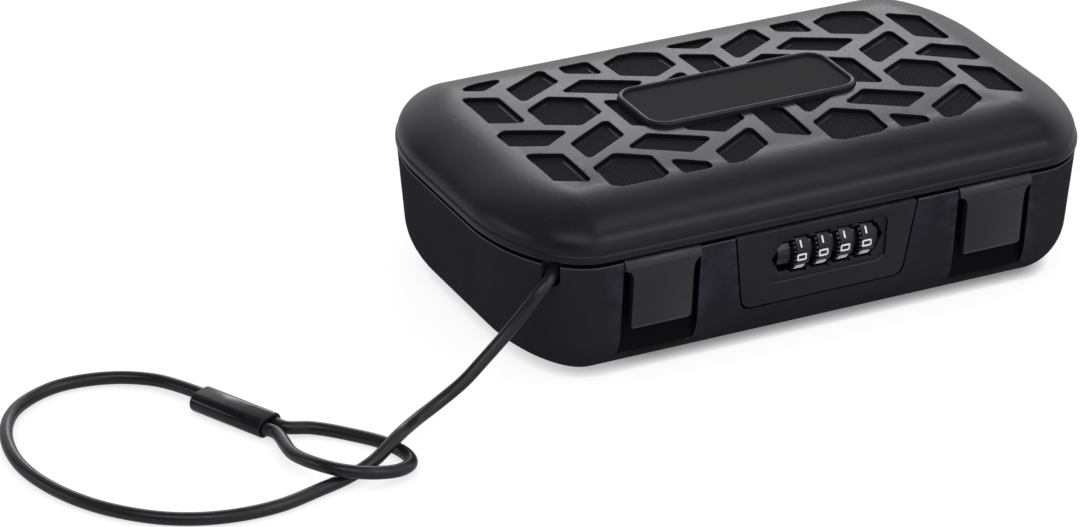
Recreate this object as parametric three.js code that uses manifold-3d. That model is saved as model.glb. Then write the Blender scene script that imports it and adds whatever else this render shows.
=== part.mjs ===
// Portable car safe: a moulded case with a hinged lid, two pull latches, a four-dial lock
// and a steel cable that loops through its own eye.
// Millimetres, +Z up, X along the case, and the dials face -Y.
import * as THREE from "three";
import { mergeVertices } from "three/addons/utils/BufferGeometryUtils.js";
import Module from "manifold-3d";

const wasm = await Module();
wasm.setup();

// Fits shared by every piece
const runningGap = 0.3;
const seamGap = 0.3;
const overrun = 8;
const mergeDistance = 0.00001;
const quarterTurn = Math.PI / 2;
const sixthTurn = Math.PI / 3;
const fullTurn = Math.PI * 2;

// Sides of round bars and steps of rounded corners
const largeSides = 24;
const middleSides = 18;
const smallSides = 12;
const cornerCurveSteps = 5;

// Case, measured at the parting line between base and lid
const caseLength = 230;
const caseWidth = 140;
const partingHeight = 46;
const cornerLength = 29;
const cornerWidth = 48;
const leastCorner = 5;
const cornerSteps = 6;
const wallDraft = 4;
const bottomRound = 14;
const roundSteps = 5;
const baseWall = 3;
const baseFloor = 3;
const rimChamfer = 0.7;
const tongueHeight = 2;
const tongueThickness = 1.1;

// Lid
const partingGap = 0.4;
const rimProud = 1;
const rimBandHeight = 4;
const rimEdgeChamfer = 0.5;
const creaseDepth = 0.7;
const creaseHeight = 0.4;
const domeReach = 26;
const domeHeight = 13.2;
const domeSteps = 6;
const crownHeight = 1.4;
const crownStepShares = [0.4, 1];
const lidWall = 2.5;
const lidTopWall = 3.4;

// Pockets moulded in the lid top: hexagons with a whirl of parallelograms round each
const hexagonSide = 15;
const whirlSide = 18.8;
const ribWidth = 4;
const whirlEndTrim = 1.4;
const whirlSideTrim = 0.5;
const pocketDepth = 1.6;
const pocketFieldLength = 188;
const pocketFieldWidth = 99;
const pocketFieldCorner = 12;
const patternShiftX = -18.7;
const patternShiftY = -12;
const leastPocketArea = 25;

// Bare plate let into the lid top
const plateLength = 86;
const plateWidth = 36;
const plateCorner = 8;
const plateSeatDepth = 2.2;
const plateProud = 1.6;
const plateRimWidth = 2;
const plateFieldDepth = 1;
const plateEdgeChamfer = 0.5;

// Pull latches and the recesses they stand in
const latchCentre = 65.1;
const recessWidth = 29.4;
const recessDepth = 5.5;
const barrelRadius = 3.2;
const barrelTopGap = 0.2;
const barrelBackGap = 0.4;
const tabFootRise = 19.8;
const tabThickness = 3;
const tabNeckIn = 3;
const tabFlareStart = 2.6;
const tabFlareEnd = 8;
const tabCorner = 1.6;
const tabEdgeSoftening = 1;
const latchPinRadius = 1;
const latchPinGrip = 2.4;

// Steel hook on each latch pin, which reaches up behind the lid's front wall
const hookEyeRadius = 2.1;
const armWidth = 9;
const armBack = 4.7;
const armThickness = 2.2;
const armTop = 8.9;
const armFoot = 1.5;
const toothReach = 1.5;
const toothHeight = 2;
const ledgeReach = 1.1;
const ledgeHeight = 1.4;
const ledgeWidth = 12;
const windowDepth = 4.4;
const windowSideGap = 0.6;

// Latch return springs
const springWire = 0.7;
const springTurns = 5;
const springStepsPerTurn = 8;
const springSides = 5;
const springPitch = 0.98;
const springOffset = 9.2;
const springLeg = 8;
const springLegSteps = 2;

// Lock panel in the front wall
const panelTopHalf = 35.2;
const panelFootHalf = 31.3;
const panelFootRise = 17;
const panelShift = -1.6;
const panelCorner = 4;
const panelThickness = 2.7;
const fieldLength = 45;
const fieldWidth = 18.6;
const fieldCorner = 3.4;
const fieldDepth = 1;
const apertureHalfLength = 22.1;
const apertureEnd = 3.6;
const apertureHalfWidth = 6.3;
const dialSlotHalfWidth = 7.5;

// Dials, code sleeves and what carries them
const dialCount = 4;
const dialPitch = 8.5;
const dialRadius = 8;
const dialDigits = 10;
const dialWidth = 6;
const dialNeckWidth = 2.2;
const dialNeckRadius = 5.6;
const dialDrop = 12.4;
const dialShift = 1.4;
const dialSink = 6.5;
const dialGripDepth = 0.5;
const dialGripWidth = 1.6;
const dialBore = 4.6;
const sleeveRadius = 4.3;
const sleeveBore = 2.1;
const gateWidth = 1.6;
const gateDepth = 1.2;
const spindleRadius = 1.8;
const spindleOverhang = 1.6;
const collarLength = 5;

// Lock chassis behind the panel, held by four screws
const chassisHalfLength = 24.6;
const chassisWall = 2;
const chassisDepth = 15;
const chassisTop = 2;
const chassisFootRise = 15;
const flangeHalfLength = 39;
const flangeThickness = 2;
const combThickness = 0.4;
const combStrip = 3;
const combFingerWidth = 4;
const combFingerPast = 2.6;
const combRib = 0.4;
const combRibHeight = 1.2;
const leverSlotLength = 9.6;
const leverSlotWidth = 3.6;
const leverTravel = 3;
const leverRise = 4.8;
const leverCapHeight = 1.4;
const leverCapOverlap = 1;
const screwX = 27;
const screwTopDrop = 6;
const screwFootRise = 5;
const screwShankRadius = 1.2;
const screwHeadRadius = 2.3;
const screwHeadHeight = 1.6;
const screwBite = 1.8;
const screwSlotWidth = 0.6;
const screwSlotDepth = 0.7;

// Back hinges
const hingeEndSetback = 60;
const hingeOffset = 2.4;
const knuckleRadius = 3;
const hingeBaseKnuckle = 7;
const hingeLidKnuckle = 14;
const hingePinRadius = 1.2;
const hingeLeafHeight = 8;

// Foam linings
const liningThickness = 2;
const liningInset = 0.6;

// Cable, its swaged stop inside the case, its eye and the ferrule that closes the eye
const cableDiameter = 4.5;
const cableSides = 8;
const runSteps = 52;
const eyeSteps = 26;
const cableExitTurn = THREE.MathUtils.degToRad(36);
const cableExitDip = THREE.MathUtils.degToRad(25);
const cableExitDrop = 4.2;
const notchWidth = 7;
const notchFoot = 3.8;
const stopRadius = 4.2;
const stopLength = 8;
const stopSetback = 4.9;
const anchorWidth = 11;
const anchorReach = 13;
const anchorDrop = 7.2;
const ferruleWidth = 11.4;
const ferruleHeight = 7;
const ferruleEdge = 0.8;
const ferruleRound = 3.4;
const ferruleCurveSteps = 4;

// Places that several pieces share
const halfLength = caseLength / 2;
const halfWidth = caseWidth / 2;
const tabHeight = partingHeight - barrelTopGap - tabFootRise;
const panelHeight = partingHeight - panelFootRise;
const lidFoot = partingHeight + partingGap;
const domeFoot = lidFoot + rimBandHeight + creaseHeight;
const domeTop = domeFoot + domeHeight;
const lidTop = domeTop + crownHeight;
const wallLean = Math.atan2(wallDraft, partingHeight);
const barrelY = -(halfWidth - recessDepth + barrelBackGap + barrelRadius);
const barrelZ = partingHeight - barrelTopGap - barrelRadius;
const recessWallY = -(halfWidth - recessDepth);
const hingeY = halfWidth + hingeOffset;
const hingeZ = partingHeight + partingGap / 2;
const frontReach = Math.max(halfWidth + rimProud, barrelRadius - barrelY);
const backReach = hingeY + knuckleRadius;

// Colours of the materials, all near black
const looks = {
  shell: { color: 0x1d1d1f, roughness: 0.55, metalness: 0 },
  trim: { color: 0x161618, roughness: 0.45, metalness: 0 },
  gloss: { color: 0x0c0c0e, roughness: 0.2, metalness: 0 },
  steel: { color: 0x8f9194, roughness: 0.35, metalness: 1 },
  brass: { color: 0xa88a4c, roughness: 0.4, metalness: 1 },
  foam: { color: 0x232325, roughness: 0.95, metalness: 0 },
  cable: { color: 0x111113, roughness: 0.35, metalness: 0 },
};

// A closed geometry becomes a solid that can be joined and cut
function toSolid(geometry) {
  const bare = new THREE.BufferGeometry();
  bare.setAttribute("position", geometry.getAttribute("position"));
  if (geometry.index) bare.setIndex(geometry.index);
  const merged = mergeVertices(bare, mergeDistance);
  const position = merged.getAttribute("position");
  const mesh = new wasm.Mesh({
    numProp: 3,
    vertProperties: new Float32Array(position.array),
    triVerts: new Uint32Array(merged.index.array),
  });
  return new wasm.Manifold(mesh);
}

function toGeometry(solid) {
  const mesh = solid.getMesh();
  const geometry = new THREE.BufferGeometry();
  geometry.setAttribute("position", new THREE.BufferAttribute(new Float32Array(mesh.vertProperties), 3));
  geometry.setIndex(new THREE.BufferAttribute(new Uint32Array(mesh.triVerts), 1));
  return geometry;
}

function joined(solids) {
  return solids.reduce((whole, solid) => whole.add(solid));
}

function box(x0, x1, y0, y1, z0, z1) {
  const geometry = new THREE.BoxGeometry(x1 - x0, y1 - y0, z1 - z0);
  geometry.translate((x0 + x1) / 2, (y0 + y1) / 2, (z0 + z1) / 2);
  return toSolid(geometry);
}

// A round bar along X, with its middle at the given place
function barAlongX(radius, x0, x1, y, z, sides = middleSides) {
  const geometry = new THREE.CylinderGeometry(radius, radius, x1 - x0, sides);
  geometry.rotateZ(quarterTurn);
  geometry.translate((x0 + x1) / 2, y, z);
  return toSolid(geometry);
}

// A round bar along Y
function barAlongY(radius, y0, y1, x, z, sides = smallSides) {
  const geometry = new THREE.CylinderGeometry(radius, radius, y1 - y0, sides);
  geometry.translate(x, (y0 + y1) / 2, z);
  return toSolid(geometry);
}

// An outline in X and Y becomes a prism between two heights
function prism(shape, z0, z1, curveSegments = cornerCurveSteps) {
  const geometry = new THREE.ExtrudeGeometry(shape, { depth: z1 - z0, bevelEnabled: false, curveSegments });
  geometry.translate(0, 0, z0);
  return toSolid(geometry);
}

// An outline in X and Z becomes a prism between two depths along Y
function frontPrism(shape, y0, y1, curveSegments = cornerCurveSteps) {
  const geometry = new THREE.ExtrudeGeometry(shape, { depth: y1 - y0, bevelEnabled: false, curveSegments });
  geometry.rotateX(quarterTurn);
  geometry.translate(0, y1, 0);
  return toSolid(geometry);
}

// An outline in Y and Z becomes a prism along X
function sidePrism(shape, x0, x1) {
  const geometry = new THREE.ExtrudeGeometry(shape, { depth: x1 - x0, bevelEnabled: false });
  const turn = new THREE.Matrix4().makeBasis(
    new THREE.Vector3(0, 1, 0),
    new THREE.Vector3(0, 0, 1),
    new THREE.Vector3(1, 0, 0),
  );
  geometry.applyMatrix4(turn);
  geometry.translate(x0, 0, 0);
  return toSolid(geometry);
}

function polygon(points) {
  return new THREE.Shape(points.map(([x, y]) => new THREE.Vector2(x, y)));
}

function roundedRectangle(length, width, corner, middleX = 0, middleY = 0) {
  const shape = new THREE.Shape();
  const x = length / 2;
  const y = width / 2;
  const corners = [
    [x - corner, -y + corner, -quarterTurn],
    [x - corner, y - corner, 0],
    [-x + corner, y - corner, quarterTurn],
    [-x + corner, -y + corner, quarterTurn * 2],
  ];
  for (const [cx, cy, start] of corners) {
    shape.absarc(middleX + cx, middleY + cy, corner, start, start + quarterTurn, false);
  }
  return shape;
}

// The plan outline of the case, drawn in by an inset, with elliptical corners
function planOutline(inset) {
  const along = Math.max(cornerLength - inset, leastCorner);
  const across = Math.max(cornerWidth - inset, leastCorner);
  const points = [];
  for (let quarter = 0; quarter < 4; quarter += 1) {
    const signX = quarter === 0 || quarter === 3 ? 1 : -1;
    const signY = quarter < 2 ? 1 : -1;
    for (let step = 0; step <= cornerSteps; step += 1) {
      const turn = quarterTurn * (quarter + step / cornerSteps);
      points.push(new THREE.Vector2(
        signX * (halfLength - inset - along) + along * Math.cos(turn),
        signY * (halfWidth - inset - across) + across * Math.sin(turn),
      ));
    }
  }
  return points;
}

// A closed skin through rings of plan outlines, each an inset and a height
function loft(rings) {
  const outlines = rings.map(({ inset, z }) => planOutline(inset).map((p) => new THREE.Vector3(p.x, p.y, z)));
  const count = outlines[0].length;
  const vertices = outlines.flat();
  const faces = [];
  for (let ring = 0; ring + 1 < outlines.length; ring += 1) {
    for (let i = 0; i < count; i += 1) {
      const next = (i + 1) % count;
      const low = ring * count;
      const high = low + count;
      faces.push(low + i, low + next, high + next, low + i, high + next, high + i);
    }
  }
  const foot = vertices.length;
  vertices.push(new THREE.Vector3(0, 0, rings[0].z));
  vertices.push(new THREE.Vector3(0, 0, rings[rings.length - 1].z));
  const top = (outlines.length - 1) * count;
  for (let i = 0; i < count; i += 1) {
    const next = (i + 1) % count;
    faces.push(foot, next, i);
    faces.push(foot + 1, top + i, top + next);
  }
  const geometry = new THREE.BufferGeometry().setFromPoints(vertices);
  geometry.setIndex(faces);
  return toSolid(geometry);
}

// How far the wall has drawn in at a height below the parting line
function draftAt(z) {
  return wallDraft * (1 - z / partingHeight);
}

function baseRings(wall, floor, round) {
  const rings = [];
  for (let step = 0; step <= roundSteps; step += 1) {
    const turn = (quarterTurn * step) / roundSteps;
    const z = floor + round * (1 - Math.cos(turn));
    rings.push({ inset: wall + draftAt(z) + round * (1 - Math.sin(turn)), z });
  }
  return rings;
}

function baseOuter() {
  const rings = baseRings(0, 0, bottomRound);
  const shoulder = partingHeight - rimChamfer;
  rings.push({ inset: draftAt(shoulder), z: shoulder });
  rings.push({ inset: rimChamfer, z: partingHeight });
  return loft(rings);
}

function baseInner() {
  const rings = baseRings(baseWall, baseFloor, bottomRound - baseWall);
  rings.push({ inset: baseWall, z: partingHeight });
  rings.push({ inset: baseWall, z: partingHeight + overrun });
  return loft(rings);
}

function crownRings(inset, z) {
  const reach = halfWidth - inset - leastCorner;
  return crownStepShares.map((share) => ({
    inset: inset + reach * share,
    z: z + crownHeight * (1 - (1 - share) ** 2),
  }));
}

function domeRings(edgeInset, footZ, reach, height) {
  const rings = [];
  for (let step = 0; step <= domeSteps; step += 1) {
    const turn = (quarterTurn * step) / domeSteps;
    rings.push({
      inset: edgeInset + reach * (1 - Math.cos(turn)),
      z: footZ + height * Math.sin(turn),
    });
  }
  return rings;
}

function lidOuter(lower = 0) {
  const bandTop = lidFoot + rimBandHeight;
  const edge = creaseDepth - rimProud;
  const rings = [
    { inset: rimEdgeChamfer - rimProud, z: lidFoot },
    { inset: -rimProud, z: lidFoot + rimEdgeChamfer },
    { inset: -rimProud, z: bandTop },
    ...domeRings(edge, domeFoot, domeReach, domeHeight),
    ...crownRings(edge + domeReach, domeTop),
  ];
  return loft(rings).translate([0, 0, -lower]);
}

function lidInner() {
  const inset = lidWall - rimProud;
  const rings = [
    { inset, z: lidFoot - overrun },
    ...domeRings(inset, domeFoot, domeReach - lidWall, domeHeight - lidTopWall),
    ...crownRings(inset + domeReach - lidWall, domeTop - lidTopWall),
  ];
  return loft(rings);
}

// Front wall pieces are drawn upright, with the outer face at y = 0 and the parting line at z = 0,
// and then leaned and moved onto the wall
function ontoFront(solid) {
  return solid.rotate([THREE.MathUtils.radToDeg(wallLean), 0, 0]).translate([0, -halfWidth, partingHeight]);
}

function panelOutline(grow) {
  const lean = (panelTopHalf - panelFootHalf) / panelHeight;
  const footHalf = panelFootHalf + grow;
  const foot = -panelHeight - grow;
  const corner = panelCorner + grow;
  const shape = new THREE.Shape();
  const top = grow > 0 ? overrun : -partingGap;
  const topHalf = footHalf + lean * (top - foot);
  const [left, right] = [panelShift - footHalf, panelShift + footHalf];
  shape.moveTo(panelShift + topHalf, top);
  shape.lineTo(panelShift - topHalf, top);
  shape.lineTo(left - lean * corner, foot + corner);
  shape.quadraticCurveTo(left, foot, left + corner, foot);
  shape.lineTo(right - corner, foot);
  shape.quadraticCurveTo(right, foot, right + lean * corner, foot + corner);
  shape.closePath();
  return shape;
}

// The way that the cable leaves the case, over the front left corner
function cableExit() {
  const inX = halfLength - cornerLength;
  const inY = halfWidth - cornerWidth;
  const point = new THREE.Vector3(
    -inX - cornerLength * Math.sin(cableExitTurn),
    -inY - cornerWidth * Math.cos(cableExitTurn),
    partingHeight - cableExitDrop,
  );
  const level = new THREE.Vector3(
    -Math.sin(cableExitTurn) / cornerLength,
    -Math.cos(cableExitTurn) / cornerWidth,
    0,
  ).normalize();
  const way = level.clone().multiplyScalar(Math.cos(cableExitDip));
  way.z = -Math.sin(cableExitDip);
  return { point, level, way };
}

// Turns a piece drawn along +Y so that it points along the level way out of the case
function ontoExit(solid) {
  const { point, level } = cableExit();
  const heading = THREE.MathUtils.radToDeg(Math.atan2(level.y, level.x)) - 90;
  return solid.rotate([0, 0, heading]).translate([point.x, point.y, point.z]);
}

function recessCut(centre) {
  const half = recessWidth / 2;
  return box(centre - half, centre + half, -halfWidth - overrun, recessWallY, -overrun, partingHeight + overrun);
}

function recessBacking(centre) {
  const half = recessWidth / 2 + baseWall;
  const back = recessWallY + baseWall;
  return box(centre - half, centre + half, -halfWidth - overrun, back, -overrun, partingHeight);
}

function armWindow(centre) {
  const half = armWidth / 2 + windowSideGap;
  const foot = barrelZ - windowDepth;
  return box(centre - half, centre + half, recessWallY - overrun, recessWallY + baseWall + overrun, foot,
    partingHeight + overrun);
}

function latchPinBore(centre, radius, grip) {
  const half = recessWidth / 2 + grip;
  return barAlongX(radius, centre - half, centre + half, barrelY, barrelZ, smallSides);
}

// Spans along X of one hinge's knuckles: two on the base and one on the lid between them
function hingeSpans(centre) {
  const inner = hingeLidKnuckle / 2;
  const outer = inner + seamGap + hingeBaseKnuckle;
  return {
    lid: [[centre - inner, centre + inner]],
    base: [
      [centre - outer, centre - inner - seamGap],
      [centre + inner + seamGap, centre + outer],
    ],
    reach: outer,
  };
}

function knuckle(span, leafSign) {
  const [x0, x1] = span;
  const slant = knuckleRadius * Math.SQRT1_2;
  const leaf = polygon([
    [hingeY - knuckleRadius, hingeZ],
    [hingeY - knuckleRadius, hingeZ + leafSign * hingeLeafHeight],
    [hingeY + slant, hingeZ + leafSign * slant],
    [hingeY, hingeZ],
  ]);
  return barAlongX(knuckleRadius, x0, x1, hingeY, hingeZ).add(sidePrism(leaf, x0, x1));
}

function knuckleClearance(span) {
  const [x0, x1] = span;
  return barAlongX(knuckleRadius + runningGap, x0 - seamGap, x1 + seamGap, hingeY, hingeZ);
}

function hingeBore(centre) {
  const half = hingeSpans(centre).reach + overrun;
  return barAlongX(hingePinRadius + runningGap, centre - half, centre + half, hingeY, hingeZ, smallSides);
}

const hingeCentres = [hingeEndSetback - halfLength, halfLength - hingeEndSetback];
const latchCentres = [-latchCentre, latchCentre];

// Upstanding lip on the base rim that the lid closes over
function rimTongue() {
  const inner = { inset: baseWall, foot: partingHeight - rimChamfer };
  const outer = baseWall - tongueThickness;
  const ring = (inset) => loft([
    { inset, z: inner.foot },
    { inset, z: partingHeight + tongueHeight },
  ]);
  let tongue = ring(outer).subtract(ring(inner.inset));
  const half = recessWidth / 2 + seamGap;
  for (const centre of latchCentres) {
    tongue = tongue.subtract(
      box(centre - half, centre + half, -halfWidth, -halfWidth + overrun, inner.foot, partingHeight + overrun),
    );
  }
  const panelHalf = flangeHalfLength;
  return tongue.subtract(
    box(-panelHalf, panelHalf, -halfWidth, -halfWidth + overrun, inner.foot, partingHeight + overrun),
  );
}

function cableNotch() {
  const half = notchWidth / 2;
  const shape = new THREE.Shape();
  const middle = half - notchFoot;
  shape.moveTo(half, overrun);
  shape.lineTo(-half, overrun);
  shape.lineTo(-half, middle);
  shape.absarc(0, middle, half, -Math.PI, 0, false);
  shape.closePath();
  return ontoExit(frontPrism(shape, -overrun, overrun));
}

function cableAnchor() {
  const half = anchorWidth / 2;
  return ontoExit(box(-half, half, -anchorReach, 0, -partingHeight, -anchorDrop + cableExitDrop));
}

function baseShell() {
  const outer = baseOuter();
  let inner = baseInner();
  for (const centre of latchCentres) inner = inner.subtract(recessBacking(centre));
  inner = inner.subtract(cableAnchor());
  let base = outer.subtract(inner);
  for (const centre of latchCentres) {
    base = base.subtract(recessCut(centre));
    base = base.subtract(armWindow(centre));
    base = base.subtract(latchPinBore(centre, latchPinRadius + runningGap, latchPinGrip));
  }
  base = base.subtract(ontoFront(frontPrism(panelOutline(seamGap), -overrun, baseWall + overrun)));
  base = base.add(rimTongue());
  for (const centre of hingeCentres) {
    const spans = hingeSpans(centre);
    for (const span of spans.lid) base = base.subtract(knuckleClearance(span));
    for (const span of spans.base) base = base.add(knuckle(span, -1));
    base = base.subtract(hingeBore(centre));
  }
  return base.subtract(cableNotch());
}

// Pocket outlines of the lid top, as polygons already drawn in by half a rib
function pocketOutlines() {
  const slant = sixthTurn / 2;
  const sideIn = ribWidth / 2;
  const endIn = sideIn / Math.cos(slant);
  const hexagonRadius = hexagonSide - endIn;
  const hexagon = [];
  for (let corner = 0; corner < 6; corner += 1) {
    const turn = corner * sixthTurn + slant;
    hexagon.push([hexagonRadius * Math.cos(turn), hexagonRadius * Math.sin(turn)]);
  }
  const pitch = hexagonSide * 2 + whirlSide;
  const rise = Math.tan(slant);
  const halfRun = hexagonSide * Math.cos(slant) - sideIn - whirlEndTrim;
  const halfTall = whirlSide / 2 - endIn - whirlSideTrim;
  const whirl = [
    [-halfRun, -halfRun * rise - halfTall],
    [halfRun, halfRun * rise - halfTall],
    [halfRun, halfRun * rise + halfTall],
    [-halfRun, -halfRun * rise + halfTall],
  ].map(([x, y]) => [x, y + pitch / 2]);
  const turned = (points, turn) => points.map(([x, y]) => [
    x * Math.cos(turn) - y * Math.sin(turn),
    x * Math.sin(turn) + y * Math.cos(turn),
  ]);
  const cell = [hexagon];
  for (let arm = 0; arm < 3; arm += 1) cell.push(turned(whirl, -arm * sixthTurn));
  const outlines = [];
  const stepX = pitch * Math.cos(slant);
  const columns = Math.ceil(halfLength / stepX) + 1;
  const rows = Math.ceil(halfWidth / pitch) + 2;
  for (let column = -columns; column <= columns; column += 1) {
    for (let row = -rows; row <= rows; row += 1) {
      const x = patternShiftX + column * stepX;
      const y = patternShiftY + row * pitch + (column * pitch) / 2;
      for (const points of cell) outlines.push(points.map(([px, py]) => [px + x, py + y]));
    }
  }
  return outlines;
}

function lidPockets() {
  const foot = lidTop - domeHeight;
  const top = lidTop + overrun;
  const height = top - foot;
  const field = prism(roundedRectangle(pocketFieldLength, pocketFieldWidth, pocketFieldCorner), foot, top);
  const keepOut = prism(plateSeatOutline(), foot - overrun, top + overrun);
  const kept = [];
  for (const outline of pocketOutlines()) {
    const far = outline.every(([x, y]) => Math.abs(x) > halfLength || Math.abs(y) > halfWidth);
    if (far) continue;
    const pocket = prism(polygon(outline), foot, top).intersect(field).subtract(keepOut);
    for (const piece of pocket.decompose()) {
      if (piece.volume() / height > leastPocketArea) kept.push(piece);
    }
  }
  return joined(kept).subtract(lidOuter(pocketDepth));
}

function plateSeatOutline() {
  return roundedRectangle(plateLength + seamGap * 2, plateWidth + seamGap * 2, plateCorner + seamGap);
}

function lidLedges() {
  const front = -(halfWidth + rimProud - lidWall);
  const foot = barrelZ + armTop - toothHeight - runningGap - ledgeHeight;
  return latchCentres.map((centre) => box(
    centre - ledgeWidth / 2,
    centre + ledgeWidth / 2,
    front - lidWall / 2,
    front + ledgeReach,
    foot,
    foot + ledgeHeight,
  ));
}

function lidShell() {
  let lid = lidOuter().subtract(lidInner());
  lid = lid.subtract(lidPockets());
  lid = lid.subtract(prism(plateSeatOutline(), lidTop - plateSeatDepth, lidTop + overrun));
  lid = joined([lid, ...lidLedges()]);
  for (const centre of hingeCentres) {
    const spans = hingeSpans(centre);
    for (const span of spans.base) lid = lid.subtract(knuckleClearance(span));
    for (const span of spans.lid) lid = lid.add(knuckle(span, 1));
    lid = lid.subtract(hingeBore(centre));
  }
  return lid;
}

function lidPlate() {
  const foot = lidTop - plateSeatDepth + seamGap;
  const top = lidTop + plateProud;
  const body = prism(roundedRectangle(plateLength, plateWidth, plateCorner), foot, top - plateEdgeChamfer);
  const edge = plateEdgeChamfer;
  const crest = prism(
    roundedRectangle(plateLength - edge, plateWidth - edge, plateCorner - edge / 2),
    top - edge,
    top,
  );
  const inset = plateRimWidth * 2;
  const field = prism(
    roundedRectangle(plateLength - inset, plateWidth - inset, plateCorner - plateRimWidth),
    top - plateFieldDepth,
    top + overrun,
  );
  return body.add(crest).subtract(field);
}

function liningPad(inset, z0, z1) {
  return loft([{ inset, z: z0 }, { inset, z: z1 }]);
}

function baseLining() {
  const floorInset = draftAt(baseFloor) + bottomRound + liningInset;
  const z0 = baseFloor + runningGap;
  return liningPad(floorInset, z0, z0 + liningThickness);
}

function lidLining() {
  const inset = lidWall - rimProud + domeReach - lidWall + liningInset;
  const top = domeTop - lidTopWall - runningGap;
  const rings = [{ inset, z: top - liningThickness }, { inset, z: top }, ...crownRings(inset, top)];
  return loft(rings);
}

// Outline of a latch seen from the front: full width at the barrel, drawn in below it
function latchFront() {
  const wide = recessWidth / 2 - runningGap;
  const narrow = wide - tabNeckIn;
  const top = barrelRadius + armTop;
  const foot = barrelRadius - tabHeight;
  const flareTop = barrelRadius - tabFlareStart;
  const flareFoot = barrelRadius - tabFlareEnd;
  const shape = new THREE.Shape();
  shape.moveTo(wide, top);
  shape.lineTo(-wide, top);
  shape.lineTo(-wide, flareTop);
  shape.quadraticCurveTo(-narrow, flareTop, -narrow, flareFoot);
  shape.lineTo(-narrow, foot + tabCorner);
  shape.quadraticCurveTo(-narrow, foot, -narrow + tabCorner, foot);
  shape.lineTo(narrow - tabCorner, foot);
  shape.quadraticCurveTo(narrow, foot, narrow, foot + tabCorner);
  shape.lineTo(narrow, flareFoot);
  shape.quadraticCurveTo(narrow, flareTop, wide, flareTop);
  shape.closePath();
  return shape;
}

// Side outline of the tab below the barrel, which leans with the front wall
function tabSide() {
  const foot = barrelRadius - tabHeight;
  const leanIn = Math.tan(wallLean) * -foot;
  const face = -barrelRadius;
  const edge = tabEdgeSoftening;
  return polygon([
    [face, 0],
    [face + leanIn, foot + edge],
    [face + leanIn + edge / 2, foot],
    [face + leanIn + tabThickness - edge / 2, foot],
    [face + leanIn + tabThickness, foot + edge],
    [face + tabThickness, 0],
  ]);
}

// A pocket in the back of the barrel, round what sits on the pin there
function barrelPocket(radius, start, end) {
  const round = barAlongX(radius + runningGap, start - runningGap, end + runningGap, 0, 0);
  return round.add(box(start - runningGap, end + runningGap, 0, overrun, -overrun, overrun));
}

function latch(centre) {
  const half = recessWidth / 2;
  const barrel = barAlongX(barrelRadius, -half, half, 0, 0, largeSides);
  const tab = sidePrism(tabSide(), -half, half);
  let body = barrel.add(tab).intersect(frontPrism(latchFront(), -overrun, overrun));
  const coilRadius = latchPinRadius + runningGap + springWire;
  const coilHalf = (springTurns * springPitch + springWire) / 2;
  body = body.subtract(barrelPocket(coilRadius, springOffset - coilHalf, springOffset + coilHalf));
  body = body.subtract(barrelPocket(hookEyeRadius, -armWidth / 2, armWidth / 2));
  body = body.subtract(barAlongX(latchPinRadius + runningGap, -half - overrun, half + overrun, 0, 0, smallSides));
  return body.translate([centre, barrelY, barrelZ]);
}

// The hook turns on the latch pin with the tab, and its tooth stands over the lid's ledge
function latchHook(centre) {
  const half = armWidth / 2;
  const armFront = armBack - armThickness;
  const arm = polygon([
    [0, -armFoot],
    [armBack, -armFoot],
    [armBack, armTop],
    [armFront - toothReach, armTop],
    [armFront - toothReach, armTop - toothHeight],
    [armFront, armTop - toothHeight],
    [armFront, armFoot],
    [0, armFoot],
  ]);
  const eye = barAlongX(hookEyeRadius, -half, half, 0, 0);
  const bore = barAlongX(latchPinRadius + runningGap, -half - overrun, half + overrun, 0, 0, smallSides);
  return eye.add(sidePrism(arm, -half, half)).subtract(bore).translate([centre, barrelY, barrelZ]);
}

function latchPin(centre) {
  return latchPinBore(centre, latchPinRadius, latchPinGrip - runningGap);
}

// A tube along a path: an outline with the given sides swept along it
function tube(path, radius, sides, steps) {
  const outline = new THREE.Shape();
  for (let side = 0; side < sides; side += 1) {
    const turn = (side / sides) * fullTurn;
    const x = radius * Math.cos(turn);
    const y = radius * Math.sin(turn);
    if (side === 0) outline.moveTo(x, y);
    else outline.lineTo(x, y);
  }
  outline.closePath();
  return toSolid(new THREE.ExtrudeGeometry(outline, { extrudePath: path, steps, bevelEnabled: false }));
}

// The spring's path: a leg behind the tab, the turns round the pin, and a leg at the recess wall
class SpringPath extends THREE.Curve {
  getPoint(share, target = new THREE.Vector3()) {
    const coil = latchPinRadius + runningGap + springWire / 2;
    const turnsLength = springTurns * fullTurn * coil;
    const whole = turnsLength + springLeg * 2;
    const along = share * whole;
    const wallGap = barrelRadius + barrelBackGap - springWire / 2 - runningGap;
    const tabGap = -barrelRadius + tabThickness + Math.tan(wallLean) * springLeg + springWire / 2 + runningGap;
    const start = springOffset - (springTurns * springPitch) / 2;
    if (along < springLeg) {
      const reach = 1 - along / springLeg;
      return target.set(start, coil + (tabGap - coil) * reach, -springLeg * reach);
    }
    if (along > springLeg + turnsLength) {
      const reach = (along - springLeg - turnsLength) / springLeg;
      return target.set(start + springTurns * springPitch, coil + (wallGap - coil) * reach, -springLeg * reach);
    }
    const turn = (along - springLeg) / coil;
    const advance = (springPitch * turn) / fullTurn;
    return target.set(start + advance, coil * Math.cos(turn), coil * Math.sin(turn));
  }
}

function latchSpring(centre) {
  const steps = springTurns * springStepsPerTurn + springLegSteps * 2;
  return tube(new SpringPath(), springWire / 2, springSides, steps).translate([centre, barrelY, barrelZ]);
}

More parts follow.
